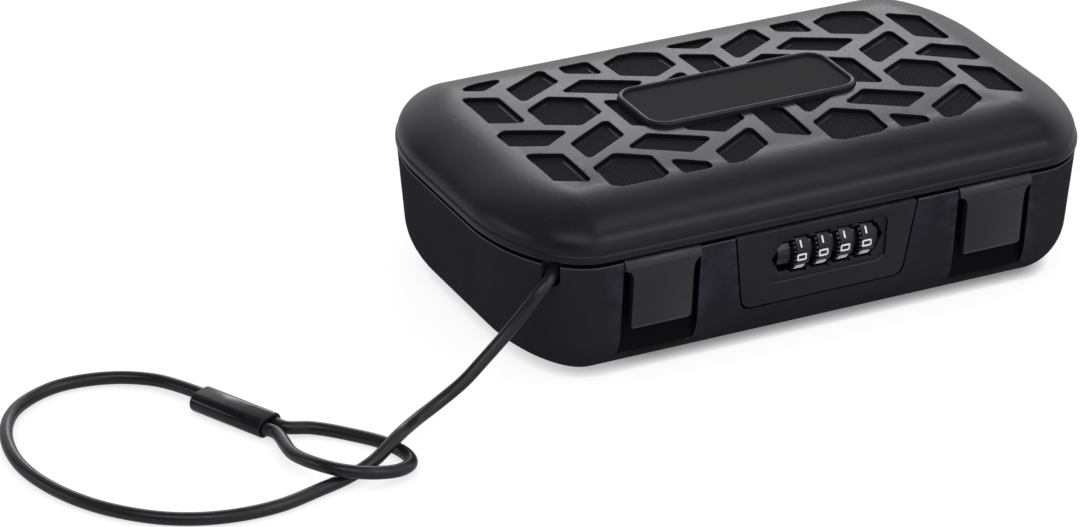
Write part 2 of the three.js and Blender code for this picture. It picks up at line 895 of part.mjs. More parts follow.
function lockPanel() {
  let panel = frontPrism(panelOutline(0), 0, panelThickness);
  const field = roundedRectangle(fieldLength, fieldWidth, fieldCorner, 0, -dialDrop);
  panel = panel.subtract(frontPrism(field, -overrun, fieldDepth));
  const aperture = polygon([
    [-apertureHalfLength, -dialDrop],
    [-apertureHalfLength + apertureEnd, -dialDrop - apertureHalfWidth],
    [apertureHalfLength - apertureEnd, -dialDrop - apertureHalfWidth],
    [apertureHalfLength, -dialDrop],
    [apertureHalfLength - apertureEnd, -dialDrop + apertureHalfWidth],
    [-apertureHalfLength + apertureEnd, -dialDrop + apertureHalfWidth],
  ]);
  panel = panel.subtract(frontPrism(aperture, -overrun, overrun));
  for (const x of dialCentres()) {
    const half = dialWidth / 2 + runningGap;
    panel = panel.subtract(
      box(x - half, x + half, -overrun, overrun, -dialDrop - dialSlotHalfWidth, -dialDrop + dialSlotHalfWidth),
    );
  }
  for (const [x, z] of screwPlaces()) {
    panel = panel.subtract(
      barAlongY(screwShankRadius + runningGap, panelThickness - screwBite - runningGap, overrun, x, z),
    );
  }
  return ontoFront(panel);
}

function screwPlaces() {
  const foot = screwFootRise - panelHeight;
  return [
    [-screwX, -screwTopDrop],
    [screwX, -screwTopDrop],
    [-screwX, foot],
    [screwX, foot],
  ];
}

const flangeFront = baseWall + runningGap;
const flangeBack = flangeFront + flangeThickness;
const chassisBack = flangeFront + chassisDepth;
const chassisFoot = chassisFootRise - partingHeight;
const leverZ = chassisFoot + leverRise;

function lockChassis() {
  const flange = box(-flangeHalfLength, flangeHalfLength, flangeFront, flangeBack, chassisFoot, -chassisTop);
  const housing = box(-chassisHalfLength, chassisHalfLength, flangeFront, chassisBack, chassisFoot, -chassisTop);
  const hollow = box(
    -chassisHalfLength + chassisWall,
    chassisHalfLength - chassisWall,
    flangeFront - overrun,
    chassisBack - chassisWall,
    chassisFoot + chassisWall,
    -chassisTop - chassisWall,
  );
  let chassis = flange.add(housing).subtract(hollow);
  const half = chassisHalfLength + overrun;
  chassis = chassis.subtract(barAlongX(spindleRadius + runningGap, -half, half, dialSink, -dialDrop, smallSides));
  for (const [x, z] of screwPlaces()) {
    chassis = chassis.subtract(
      barAlongY(screwShankRadius + runningGap, flangeFront - overrun, flangeBack + overrun, x, z),
    );
  }
  const slotHalf = leverSlotLength / 2;
  const slot = box(
    -slotHalf,
    slotHalf,
    chassisBack - chassisWall * 2,
    chassisBack + overrun,
    leverZ - leverSlotWidth / 2,
    leverZ + leverSlotWidth / 2,
  );
  return ontoFront(chassis.subtract(slot));
}

// The code change lever: a stem in a slot of the chassis, with a cap on each side of the wall
function resetLever() {
  const stemHalf = (leverSlotLength - runningGap * 2 - leverTravel) / 2;
  const middle = -leverTravel / 2;
  const stemTall = leverSlotWidth / 2 - runningGap;
  const capTall = stemTall + leverCapOverlap;
  const wallInner = chassisBack - chassisWall;
  const stem = box(
    middle - stemHalf,
    middle + stemHalf,
    wallInner - runningGap - leverCapHeight,
    chassisBack + runningGap + leverCapHeight,
    leverZ - stemTall,
    leverZ + stemTall,
  );
  const cap = (y0, y1) => box(
    middle - stemHalf - leverCapOverlap,
    middle + stemHalf + leverCapOverlap,
    y0,
    y1,
    leverZ - capTall,
    leverZ + capTall,
  );
  const outside = cap(chassisBack + runningGap, chassisBack + runningGap + leverCapHeight);
  const inside = cap(wallInner - runningGap - leverCapHeight, wallInner - runningGap);
  return ontoFront(joined([stem, outside, inside]));
}

// Leaf comb that clicks each dial into its digits
function detentSpring() {
  const back = chassisBack - chassisWall - runningGap;
  const front = back - combThickness;
  const top = -chassisTop - chassisWall - runningGap;
  const half = chassisHalfLength - chassisWall - runningGap;
  const foot = -dialDrop - combFingerPast;
  const pieces = [box(-half, half, front, back, top - combStrip, top)];
  for (const x of dialCentres()) {
    const side = combFingerWidth / 2;
    pieces.push(box(x - side, x + side, front, back, foot, top - combStrip / 2));
    const rib = polygon([
      [front + combThickness / 2, -dialDrop - combRibHeight],
      [front + combThickness / 2, -dialDrop + combRibHeight],
      [front - combRib, -dialDrop],
    ]);
    pieces.push(sidePrism(rib, x - side, x + side));
  }
  return ontoFront(joined(pieces));
}

function screw(place) {
  const [x, z] = place;
  const seat = flangeBack + runningGap;
  const shank = barAlongY(screwShankRadius, panelThickness - screwBite, seat + screwHeadHeight / 2, x, z);
  const head = barAlongY(screwHeadRadius, seat, seat + screwHeadHeight, x, z);
  const slotHalf = screwSlotWidth / 2;
  const reach = screwHeadRadius + runningGap;
  const crest = seat + screwHeadHeight;
  const across = box(x - reach, x + reach, crest - screwSlotDepth, crest + overrun, z - slotHalf, z + slotHalf);
  const down = box(x - slotHalf, x + slotHalf, crest - screwSlotDepth, crest + overrun, z - reach, z + reach);
  return ontoFront(shank.add(head).subtract(across).subtract(down));
}

function dialCentres() {
  const centres = [];
  for (let dial = 0; dial < dialCount; dial += 1) {
    centres.push(dialShift + (dial - (dialCount - 1) / 2) * dialPitch);
  }
  return centres;
}

// A ten-sided dial with finger notches on its left rim and a round neck on its right
function dial(x) {
  const start = x - dialWidth / 2;
  const end = x + dialWidth / 2;
  const wheel = new THREE.CylinderGeometry(dialRadius, dialRadius, dialWidth, dialDigits, 1, false, 0);
  wheel.rotateY(Math.PI / dialDigits);
  wheel.rotateZ(quarterTurn);
  wheel.rotateX(quarterTurn);
  wheel.translate(x, 0, 0);
  let body = toSolid(wheel);
  body = body.add(barAlongX(dialNeckRadius, end - runningGap, end + dialNeckWidth, 0, 0));
  const notch = box(
    start - overrun,
    start + dialGripWidth,
    -dialGripDepth * 2,
    dialGripDepth * 2,
    dialRadius - dialGripDepth * 2,
    dialRadius + overrun,
  );
  for (let digit = 0; digit < dialDigits; digit += 1) {
    const turn = quarterTurn + ((digit + 1 / 2) * fullTurn) / dialDigits;
    body = body.subtract(notch.rotate([THREE.MathUtils.radToDeg(turn), 0, 0]));
  }
  body = body.subtract(barAlongX(dialBore, start - overrun, end + dialNeckWidth + overrun, 0, 0));
  return ontoFront(body.translate([0, dialSink, -dialDrop]));
}

// The code sleeve inside a dial, with the gate that its key finds at the right digit
function codeSleeve(x) {
  const start = x - dialWidth / 2;
  const end = x + dialPitch - dialWidth / 2 - runningGap;
  let sleeve = barAlongX(sleeveRadius, start, end, 0, 0);
  sleeve = sleeve.subtract(barAlongX(sleeveBore, start - overrun, end + overrun, 0, 0, smallSides));
  const gate = box(start - overrun, end + overrun, -gateWidth / 2, gateWidth / 2, sleeveRadius - gateDepth,
    sleeveRadius + overrun);
  return ontoFront(sleeve.subtract(gate).translate([0, dialSink, -dialDrop]));
}

function spindle() {
  const half = chassisHalfLength + spindleOverhang;
  const rod = barAlongX(spindleRadius, -half, half, 0, 0, smallSides);
  const collarEnd = dialCentres()[0] - dialWidth / 2 - runningGap;
  const collar = barAlongX(dialNeckRadius, collarEnd - collarLength, collarEnd, 0, 0);
  return ontoFront(rod.add(collar).translate([0, dialSink, -dialDrop]));
}

function hingePin(centre) {
  const { reach } = hingeSpans(centre);
  return barAlongX(hingePinRadius, centre - reach, centre + reach, hingeY, hingeZ, smallSides);
}

// Where the free cable lies, from the case to the back of the ferrule
const runPoints = [
  [-108, -63.2, 38.4],
  [-113.8, -63.4, 32.2],
  [-120.3, -63.6, 25.9],
  [-130, -65, 18.4],
  [-138, -66.6, 13],
  [-148, -68.7, 8.6],
  [-158.3, -73.6, 7],
  [-169.1, -82.2, 7.5],
  [-181.4, -89.4, 4.4],
  [-191.3, -92.2, 2.5],
  [-203, -95.6, 2.3],
  [-218.7, -99.6, 2.3],
  [-233.3, -99.4, 2.3],
  [-246.6, -95.8, 2.3],
  [-258.6, -88.7, 2.3],
  [-272.2, -74.2, 2.3],
  [-281.8, -54.7, 2.3],
  [-285.2, -34.5, 2.3],
  [-281.2, -13, 2.3],
  [-272, 0.5, 2.3],
  [-255.3, 8.6, 2.3],
  [-237.5, 6.4, 2.5],
  [-224.2, -2.7, 3],
];

// Ends of the ferrule's middle line
const ferruleBack = new THREE.Vector3(-215.5, -22.4, 3.5);
const ferruleFront = new THREE.Vector3(-201.8, -50.6, 3.5);

// The eye, from the far side of the ferrule's front face round to the near side
const eyePoints = [
  [-188.8, -56.6, 2.5],
  [-178.9, -66.2, 2.3],
  [-171.4, -76.4, 2.3],
  [-168.2, -86, 2.3],
  [-169.7, -93.4, 2.9],
  [-176, -97.9, 4],
  [-185.8, -99, 6],
  [-194.6, -95.4, 7.2],
  [-200.3, -87.6, 7],
  [-203.4, -74.2, 5],
];

function ferruleFrame() {
  const along = ferruleFront.clone().sub(ferruleBack);
  const length = along.length();
  along.normalize();
  const side = new THREE.Vector3(-along.y, along.x, 0);
  return { along, side, length, strand: (cableDiameter + seamGap) / 2 };
}

function routePoints(list) {
  return list.map(([x, y, z]) => new THREE.Vector3(x, y, z));
}

function cableRun() {
  const { point, way } = cableExit();
  const { along, side, strand } = ferruleFrame();
  const atStop = point.clone().addScaledVector(way, -stopSetback + runningGap);
  const outside = point.clone().addScaledVector(way, cableDiameter / 2);
  const end = ferruleBack.clone().addScaledVector(side, strand).addScaledVector(along, -seamGap);
  const beforeEnd = end.clone().addScaledVector(along, -cableDiameter);
  const path = new THREE.CatmullRomCurve3(
    [atStop, outside, ...routePoints(runPoints), beforeEnd, end],
    false,
    "centripetal",
  );
  return tube(path, cableDiameter / 2, cableSides, runSteps);
}

function cableEye() {
  const { along, side, strand } = ferruleFrame();
  const start = ferruleFront.clone().addScaledVector(side, strand).addScaledVector(along, seamGap);
  const afterStart = start.clone().addScaledVector(along, cableDiameter);
  const end = ferruleFront.clone().addScaledVector(side, -strand).addScaledVector(along, seamGap);
  const beforeEnd = end.clone().addScaledVector(along, cableDiameter);
  const path = new THREE.CatmullRomCurve3(
    [start, afterStart, ...routePoints(eyePoints), beforeEnd, end],
    false,
    "centripetal",
  );
  return tube(path, cableDiameter / 2, cableSides, eyeSteps);
}

// An oval sleeve with both ends eased
function cableFerrule() {
  const { along, length } = ferruleFrame();
  const slice = (inset, y0, y1) => frontPrism(
    roundedRectangle(ferruleWidth - inset * 2, ferruleHeight - inset * 2, ferruleRound - inset),
    y0,
    y1,
    ferruleCurveSteps,
  );
  const body = slice(0, ferruleEdge, length - ferruleEdge);
  const ends = slice(ferruleEdge / 2, 0, length);
  const heading = THREE.MathUtils.radToDeg(Math.atan2(along.y, along.x)) - 90;
  return body.add(ends).rotate([0, 0, heading]).translate(ferruleBack.toArray());
}

function cableStop() {
  const { point, way } = cableExit();
  const geometry = new THREE.CylinderGeometry(stopRadius, stopRadius, stopLength, middleSides);
  const turn = new THREE.Quaternion().setFromUnitVectors(new THREE.Vector3(0, 1, 0), way);
  geometry.applyQuaternion(turn);
  const middle = point.clone().addScaledVector(way, -stopSetback - stopLength / 2);
  geometry.translate(...middle.toArray());
  return toSolid(geometry);
}

const safe = new THREE.Group();
safe.name = "portable_car_safe";
safe.position.y = (frontReach - backReach) / 2;

function add(name, solid, look) {
  const mesh = new THREE.Mesh(toGeometry(solid), new THREE.MeshStandardMaterial(looks[look]));
  mesh.name = name;
  safe.add(mesh);
}

add("base_shell", baseShell(), "shell");
add("base_lining", baseLining(), "foam");
add("lid_shell", lidShell(), "shell");
add("lid_lining", lidLining(), "foam");
add("lid_plate", lidPlate(), "trim");
add("lock_panel", lockPanel(), "trim");
add("lock_chassis", lockChassis(), "trim");
add("dial_spindle", spindle(), "steel");
add("detent_spring", detentSpring(), "steel");
add("reset_lever", resetLever(), "trim");
screwPlaces().forEach((place, index) => add(`chassis_screw_${index + 1}`, screw(place), "steel"));
dialCentres().forEach((x, index) => {
  add(`dial_${index + 1}`, dial(x), "gloss");
  add(`code_sleeve_${index + 1}`, codeSleeve(x), "brass");
});
["left", "right"].forEach((side, index) => {
  add(`latch_${side}`, latch(latchCentres[index]), "trim");
  add(`latch_hook_${side}`, latchHook(latchCentres[index]), "steel");
  add(`latch_pin_${side}`, latchPin(latchCentres[index]), "steel");
  add(`latch_spring_${side}`, latchSpring(latchCentres[index]), "steel");
  add(`hinge_pin_${side}`, hingePin(hingeCentres[index]), "steel");
});
add("cable_stop", cableStop(), "steel");
add("cable_run", cableRun(), "cable");
add("cable_ferrule", cableFerrule(), "gloss");
add("cable_eye", cableEye(), "cable");

export default safe;
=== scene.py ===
# Portable car safe: its looks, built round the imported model.
# Metres, +Z up, X along the case, and the dials face -Y.
import math
import bmesh
import bpy
from mathutils import Matrix, Vector
from mathutils.bvhtree import BVHTree


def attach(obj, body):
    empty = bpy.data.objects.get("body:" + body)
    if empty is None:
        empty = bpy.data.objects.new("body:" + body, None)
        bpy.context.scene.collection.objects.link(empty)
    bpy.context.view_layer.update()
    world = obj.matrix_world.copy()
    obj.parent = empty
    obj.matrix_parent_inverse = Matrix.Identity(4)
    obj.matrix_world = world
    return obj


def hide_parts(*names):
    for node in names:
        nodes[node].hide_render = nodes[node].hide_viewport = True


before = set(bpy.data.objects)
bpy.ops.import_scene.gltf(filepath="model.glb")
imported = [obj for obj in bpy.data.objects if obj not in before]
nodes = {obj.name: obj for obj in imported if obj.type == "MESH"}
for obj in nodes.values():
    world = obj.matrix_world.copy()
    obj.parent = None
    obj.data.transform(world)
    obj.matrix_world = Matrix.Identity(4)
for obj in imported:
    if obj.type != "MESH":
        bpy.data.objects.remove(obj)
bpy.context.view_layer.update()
scene = bpy.context.scene
scene.view_settings.view_transform = "Standard"
mm = 0.001
upwards = Vector((0, 0, 1))

# The case's middle lies a little in front of the frame's origin
caseShiftY = -2.05 * mm


# Camera at the photograph's viewing angle
cameraFacts = {
    "place": (-0.6954, -1.2766, 0.7226),
    "looksAt": (-0.06517, 0.0230, 0),
    "lens": 150.08,
    "sensor": 36,
}


def addAimed(name, data, place, target):
    thing = bpy.data.objects.new(name, data)
    thing.location = place
    thing.rotation_mode = "QUATERNION"
    thing.rotation_quaternion = (Vector(target) - Vector(place)).to_track_quat("-Z", "Y")
    scene.collection.objects.link(thing)
    return thing


def makeCamera(facts):
    data = bpy.data.cameras.new("camera")
    data.lens = facts["lens"]
    data.sensor_fit = "HORIZONTAL"
    data.sensor_width = facts["sensor"]
    scene.camera = addAimed("camera", data, facts["place"], facts["looksAt"])


makeCamera(cameraFacts)


# Shader groups that several finishes share: each takes a place and gives numbers
def newGroup(name, inputs, outputs):
    group = bpy.data.node_groups.new(name, "ShaderNodeTree")
    newSocket = group.interface.new_socket
    newSocket(name="Vector", in_out="INPUT", socket_type="NodeSocketVector")
    for label, value in inputs.items():
        kind = "Vector" if isinstance(value, tuple) else "Float"
        newSocket(name=label, in_out="INPUT", socket_type="NodeSocket" + kind).default_value = value
    for label in outputs:
        newSocket(name=label, in_out="OUTPUT", socket_type="NodeSocketFloat")
    given, put = group.nodes.new("NodeGroupInput"), group.nodes.new("NodeGroupOutput")
    return group, given.outputs, put.inputs


def addNode(tree, kind, **values):
    node = tree.nodes.new("ShaderNode" + kind)
    for label, value in values.items():
        setattr(node, label, value)
    return node


def plug(tree, socket, value):
    if isinstance(value, bpy.types.NodeSocket):
        tree.links.new(value, socket)
    else:
        socket.default_value = value


def addMath(tree, operation, *values, clamp=False):
    node = addNode(tree, "Math", operation=operation, use_clamp=clamp)
    for socket, value in zip(node.inputs, values):
        plug(tree, socket, value)
    return node.outputs[0]


def addNoise(tree, vector, scale, detail, roughness=0.5):
    node = addNode(tree, "TexNoise")
    for label, value in zip(("Vector", "Scale", "Detail", "Roughness"),
                            (vector, scale, detail, roughness)):
        plug(tree, node.inputs[label], value)
    return node.outputs["Fac"]


def addRange(tree, value, low, high, lowTo=0.0, highTo=1.0):
    node = addNode(tree, "MapRange")
    for socket, item in zip(node.inputs, (value, low, high, lowTo, highTo)):
        plug(tree, socket, item)
    return node.outputs["Result"]


def addGroup(tree, group, **values):
    node = addNode(tree, "Group", node_tree=group)
    for label, value in values.items():
        plug(tree, node.inputs[label], value)
    return node.outputs


def splitVector(tree, vector):
    node = addNode(tree, "SeparateXYZ")
    plug(tree, node.inputs[0], vector)
    return node.outputs


# Fine spark-eroded grain of the mould, and slow unevenness over a hand's breadth
def makeMouldedGrain():
    group, given, put = newGroup("mouldedGrain", {"Scale": 2600}, ("Height", "Mottle"))
    fine = addNoise(group, given["Vector"], given["Scale"], detail=3, roughness=0.6)
    coarseScale = addMath(group, "MULTIPLY", given["Scale"], 0.32)
    coarse = addNoise(group, given["Vector"], coarseScale, detail=1)
    plug(group, put["Height"], addMath(group, "MULTIPLY_ADD", coarse, 0.5, fine))
    slow = addNoise(group, given["Vector"], scale=28, detail=4, roughness=0.62)
    plug(group, put["Mottle"], addRange(group, slow, 0.3, 0.7))
    return group


# Fine ridges cut in the mould, square to Across and Pitch apart
def makeFineLines():
    group, given, put = newGroup("fineLines", {"Across": (1, 0, 0), "Pitch": 0.001}, ("Height",))
    dot = addNode(group, "VectorMath", operation="DOT_PRODUCT")
    plug(group, dot.inputs[0], given["Vector"])
    plug(group, dot.inputs[1], given["Across"])
    turns = addMath(group, "DIVIDE", dot.outputs["Value"], given["Pitch"])
    wave = addMath(group, "SINE", addMath(group, "MULTIPLY", turns, math.tau))
    plug(group, put["Height"], addMath(group, "MULTIPLY_ADD", wave, 0.5, 0.5))
    return group


# Slight shine where edges are handled, broken up by noise
def makeEdgeWear():
    group, given, put = newGroup("edgeWear", {"Start": 0.53}, ("Mask",))
    pointed = addNode(group, "NewGeometry").outputs["Pointiness"]
    end = addMath(group, "ADD", given["Start"], 0.06)
    edge = addRange(group, pointed, given["Start"], end)
    patches = addRange(group, addNoise(group, given["Vector"], scale=160, detail=4), 0.38, 0.62)
    plug(group, put["Mask"], addMath(group, "MULTIPLY", edge, patches, clamp=True))
    return group


# A little dust that has settled on what faces up
def makeDust():
    group, given, put = newGroup("settledDust", {"Amount": 0.3}, ("Mask",))
    facing = splitVector(group, addNode(group, "NewGeometry").outputs["Normal"])
    upward = addRange(group, facing["Z"], 0.35, 0.95)
    specks = addRange(group, addNoise(group, given["Vector"], scale=900, detail=2), 0.62, 0.75)
    haze = addRange(group, addNoise(group, given["Vector"], scale=45, detail=5), 0.35, 0.75)
    both = addMath(group, "MULTIPLY_ADD", haze, 0.4, specks)
    settled = addMath(group, "MULTIPLY", both, upward)
    plug(group, put["Mask"], addMath(group, "MULTIPLY", settled, given["Amount"], clamp=True))
    return group


# 1 inside a box in the object's own place, 0 outside
def makeInsideBox():
    group, given, put = newGroup("insideBox", {"Middle": (0, 0, 0), "Half": (1, 1, 1)}, ("Mask",))
    parts = [splitVector(group, given[label]) for label in ("Vector", "Middle", "Half")]
    x, y, z = (addMath(group, "COMPARE", *(part[axis] for part in parts)) for axis in "XYZ")
    plug(group, put["Mask"], addMath(group, "MULTIPLY", addMath(group, "MULTIPLY", x, y), z))
    return group


mouldedGrain = makeMouldedGrain()
fineLines = makeFineLines()
edgeWear = makeEdgeWear()
settledDust = makeDust()
insideBox = makeInsideBox()


def startMaterial(name, roughness, specular=0.5, metallic=0.0):
    material = bpy.data.materials.new(name)
    material.use_nodes = True
    tree = material.node_tree
    shader = tree.nodes["Principled BSDF"]
    shader.inputs["Roughness"].default_value = roughness
    shader.inputs["Specular IOR Level"].default_value = specular
    shader.inputs["Metallic"].default_value = metallic
    shader.inputs["Specular Tint"].default_value = (0.93, 0.92, 1, 1)
    place = addNode(tree, "TexCoord").outputs["Object"]
    return material, tree, shader, place


# Each bump lies on the one before it
def addBump(tree, shader, height, distance):
    bump = addNode(tree, "Bump")
    bump.inputs["Distance"].default_value = distance
    bump.inputs["Strength"].default_value = 1.0
    plug(tree, bump.inputs["Height"], height)
    if shader.inputs["Normal"].is_linked:
        plug(tree, bump.inputs["Normal"], shader.inputs["Normal"].links[0].from_socket)
    plug(tree, shader.inputs["Normal"], bump.outputs["Normal"])


def mixColours(tree, share, one, other):
    node = addNode(tree, "Mix", data_type="RGBA")
    plug(tree, node.inputs["Factor"], share)
    plug(tree, node.inputs[6], one)
    plug(tree, node.inputs[7], other)
    return node.outputs[2]


def plugLook(tree, shader, colour, roughness):
    plug(tree, shader.inputs["Base Color"], colour)
    plug(tree, shader.inputs["Roughness"], roughness)


def scaled(colour, factor):
    return tuple(part * factor for part in colour) + (1,)


# What every moulded finish has, unless its own entry says otherwise
moulded = {
    "grainScale": 2600,
    "grainDepth": 0.00004,
    "wearFrom": 0.54,
    "dust": 0.02,
    "darkest": 0.88,
    "lightest": 1.12,
    "worn": 2.1,
    "dustColour": (0.16, 0.155, 0.15, 1),
    "uneven": 0.02,
    "wornRougher": -0.1,
    "dustRougher": 0.25,
    "crest": (0.45, 0.85),
}

finishes = {
    "case": {
        "colour": (0.0178, 0.0172, 0.022), "roughness": 0.7, "specular": 0.01,
        "grainDepth": 0.00006, "dust": 0.03,
        "lines": {"across": (0.53, 0, 0.85), "pitch": 0.0009, "depth": 0.00012,
                  "middle": (0, -0.0725, 0.0255), "half": (0.0495, 0.009, 0.0195)},
    },
    "lid": {
        "colour": (0.0095, 0.0092, 0.0125), "roughness": 0.28, "specular": 0.2,
        "grainScale": 3400, "grainDepth": 0.00003, "dust": 0.03,
    },
    "pocketFloor": {
        "colour": (0.0085, 0.0083, 0.0105), "roughness": 0.62, "specular": 0.03,
        "wearFrom": 0.6, "dust": 0.04,
        "lines": {"across": (0.79, -0.61, 0), "pitch": 0.00086, "depth": 0.0003, "lift": 2.7},
    },
    # Painted shade: near-black given to pocket walls, recesses, gaps, notches and down-facing walls
    # where shade falls
    "paintedShade": {
        "colour": (0.0035, 0.0035, 0.0042), "roughness": 0.6, "specular": 0.04, "wearFrom": 0.6,
    },
    "plate": {
        "colour": (0.0095, 0.0092, 0.012), "roughness": 0.32, "specular": 0.3,
        "grainScale": 3400, "grainDepth": 0.00003,
    },
    "plateField": {
        "colour": (0.011, 0.0107, 0.0125), "roughness": 0.6, "specular": 0.05,
        "grainScale": 2400, "grainDepth": 0.00006, "wearFrom": 0.6, "dust": 0.04,
    },
    "panel": {
        "colour": (0.016, 0.016, 0.019), "roughness": 0.5, "specular": 0.1,
        "grainScale": 3000, "wearFrom": 0.55,
    },
    "latch": {
        "colour": (0.0085, 0.0083, 0.0108), "roughness": 0.3, "specular": 0.5,
        "grainScale": 2800, "grainDepth": 0.00005,
    },
    # Painted highlight: a lighter, shinier grey on the base's rim chamfer, the panel's up-facing walls
    # and the dial teeth's tips, where light catches
    "paintedHighlight": {
        "colour": (0.045, 0.045, 0.05), "roughness": 0.45, "specular": 0.3,
        "grainDepth": 0.00003, "wearFrom": 0.56,
    },
    "inside": {
        "colour": (0.012, 0.012, 0.014), "roughness": 0.6, "specular": 0.2,
        "grainScale": 2200, "grainDepth": 0.00006, "wearFrom": 0.56,
    },
}


# Black moulded plastic, with lines where a piece has them; where the lines have a lift, their crests
# get a painted highlight
def mouldedPlastic(name, own):
    facts = {**moulded, **own}
    colour, roughness, spread = facts["colour"], facts["roughness"], facts["uneven"]
    material, tree, shader, place = startMaterial(name, roughness, facts["specular"])
    grain = addGroup(tree, mouldedGrain, Vector=place, Scale=facts["grainScale"])
    wear = addGroup(tree, edgeWear, Vector=place, Start=facts["wearFrom"])["Mask"]
    dust = addGroup(tree, settledDust, Vector=place, Amount=facts["dust"])["Mask"]
    base = mixColours(tree, grain["Mottle"], scaled(colour, facts["darkest"]),
                      scaled(colour, facts["lightest"]))
    base = mixColours(tree, wear, base, scaled(colour, facts["worn"]))
    base = mixColours(tree, dust, base, facts["dustColour"])
    shine = addRange(tree, grain["Mottle"], 0, 1, roughness - spread, roughness + spread)
    shine = addMath(tree, "MULTIPLY_ADD", wear, facts["wornRougher"], shine)
    shine = addMath(tree, "MULTIPLY_ADD", dust, facts["dustRougher"], shine)
    addBump(tree, shader, grain["Height"], facts["grainDepth"])
    if "lines" in facts:
        lines = facts["lines"]
        height = addGroup(tree, fineLines, Vector=place, Across=lines["across"],
                          Pitch=lines["pitch"])["Height"]
        # Painted highlight: the crests of the lines are mixed to a lighter colour
        if "lift" in lines:
            crest = addRange(tree, height, *facts["crest"])
            base = mixColours(tree, crest, base, scaled(colour, lines["lift"]))
        if "middle" in lines:
            inside = addGroup(tree, insideBox, Vector=place, Middle=lines["middle"],
                              Half=lines["half"])["Mask"]
            height = addMath(tree, "MULTIPLY", height, inside)
        addBump(tree, shader, height, lines["depth"])
    plugLook(tree, shader, base, shine)
    return material


plastics = {name: mouldedPlastic(name + "Plastic", facts) for name, facts in finishes.items()}


def inPlastic(*names):
    return [plastics[name] for name in names]


# Glossy dial plastic, a little greyer where thumbs turn it
def dialGloss():
    material, tree, shader, place = startMaterial("dialGloss", 0.22, 0.32)
    grain = addGroup(tree, mouldedGrain, Vector=place, Scale=1800)
    wear = addGroup(tree, edgeWear, Vector=place, Start=0.55)["Mask"]
    base = mixColours(tree, grain["Mottle"], (0.0055, 0.0055, 0.0064, 1), (0.008, 0.008, 0.0092, 1))
    base = mixColours(tree, wear, base, (0.04, 0.04, 0.044, 1))
    plugLook(tree, shader, base, addRange(tree, grain["Mottle"], 0, 1, 0.17, 0.28))
    addBump(tree, shader, grain["Height"], 0.00001)
    return material


# White fill of the digits, with a faint unevenness
def digitPaint():
    material, tree, shader, place = startMaterial("digitPaint", 0.5)
    patchy = addRange(tree, addNoise(tree, place, scale=2400, detail=3), 0.3, 0.7)
    base = mixColours(tree, patchy, (0.74, 0.74, 0.75, 1), (0.84, 0.84, 0.84, 1))
    plugLook(tree, shader, base, addRange(tree, patchy, 0, 1, 0.42, 0.58))
    addBump(tree, shader, patchy, 0.00001)
    return material


# Closed-cell foam with open cut cells
def liningFoam():
    material, tree, shader, place = startMaterial("liningFoam", 0.9, 0.2)
    cells = addNode(tree, "TexVoronoi")
    plug(tree, cells.inputs["Vector"], place)
    cells.inputs["Scale"].default_value = 1500
    depth = cells.outputs["Distance"]
    slow = addRange(tree, addNoise(tree, place, scale=40, detail=4), 0.3, 0.7)
    skin = mixColours(tree, slow, (0.03, 0.03, 0.033, 1), (0.045, 0.045, 0.049, 1))
    # The cell pits are coloured darker: painted shade in the open cells
    base = mixColours(tree, addRange(tree, depth, 0.1, 0.7), (0.016, 0.016, 0.018, 1), skin)
    plugLook(tree, shader, base, addRange(tree, depth, 0, 0.7, 0.82, 0.96))
    addBump(tree, shader, depth, 0.0003)
    return material


# Tone changes the colour slowly, marks change the shine, and one of the two is raised
def markedFinish(name, facts):
    material, tree, shader, place = startMaterial(
        name, facts["roughness"], facts["specular"], facts.get("metallic", 0.0))
    tone = addNoise(tree, place, **facts["tone"])
    if "stretch" in facts:
        mapping = addNode(tree, "Mapping")
        plug(tree, mapping.inputs["Vector"], place)
        mapping.inputs["Scale"].default_value = facts["stretch"]
        place = mapping.outputs["Vector"]
    marks = addNoise(tree, place, **facts["marks"])
    base = mixColours(tree, addRange(tree, tone, 0.3, 0.7), *facts["colours"])
    plugLook(tree, shader, base, addRange(tree, marks, *facts["shine"]))
    addBump(tree, shader, {"tone": tone, "marks": marks}[facts["raised"]], facts["height"])
    return material


# Metal with scratches drawn along X
def metalFacts(colour, darker, roughness):
    return {
        "roughness": roughness, "specular": 0.5, "metallic": 1.0,
        "tone": {"scale": 160, "detail": 4},
        "marks": {"scale": 1.0, "detail": 4, "roughness": 0.6}, "stretch": (120, 2600, 2600),
        "colours": (colour + (1,), darker + (1,)),
        "shine": (0.25, 0.75, roughness - 0.08, roughness + 0.12),
        "raised": "marks", "height": 0.00001,
    }


# Smooth jacket with faint drawn streaks, and a glossy dipped sleeve
jacketFacts = {
    "roughness": 0.3, "specular": 0.42,
    "tone": {"scale": 35, "detail": 3},
    "marks": {"scale": 420, "detail": 5, "roughness": 0.6},
    "colours": ((0.007, 0.0068, 0.0082, 1), (0.0105, 0.0103, 0.012, 1)),
    "shine": (0.3, 0.75, 0.26, 0.36),
    "raised": "marks", "height": 0.00002,
}
sleeveFacts = {
    "roughness": 0.14, "specular": 0.3,
    "tone": {"scale": 220, "detail": 2},
    "marks": {"scale": 1500, "detail": 3},
    "colours": ((0.006, 0.006, 0.007, 1), (0.009, 0.009, 0.0105, 1)),
    "shine": (0.3, 0.7, 0.1, 0.18),
    "raised": "tone", "height": 0.00004,
}

dialBlack = dialGloss()
digitWhite = digitPaint()
foamGrey = liningFoam()
cableBlack = markedFinish("cableJacket", jacketFacts)
ferruleBlack = markedFinish("ferruleSleeve", sleeveFacts)
platedSteel = markedFinish("platedSteel", metalFacts((0.56, 0.57, 0.58), (0.42, 0.43, 0.45), 0.32))
sleeveBrass = markedFinish("sleeveBrass", metalFacts((0.78, 0.58, 0.29), (0.6, 0.43, 0.2), 0.3))
darkSteel = markedFinish("darkSteel", metalFacts((0.05, 0.05, 0.053), (0.03, 0.03, 0.033), 0.4))
print("materials made")


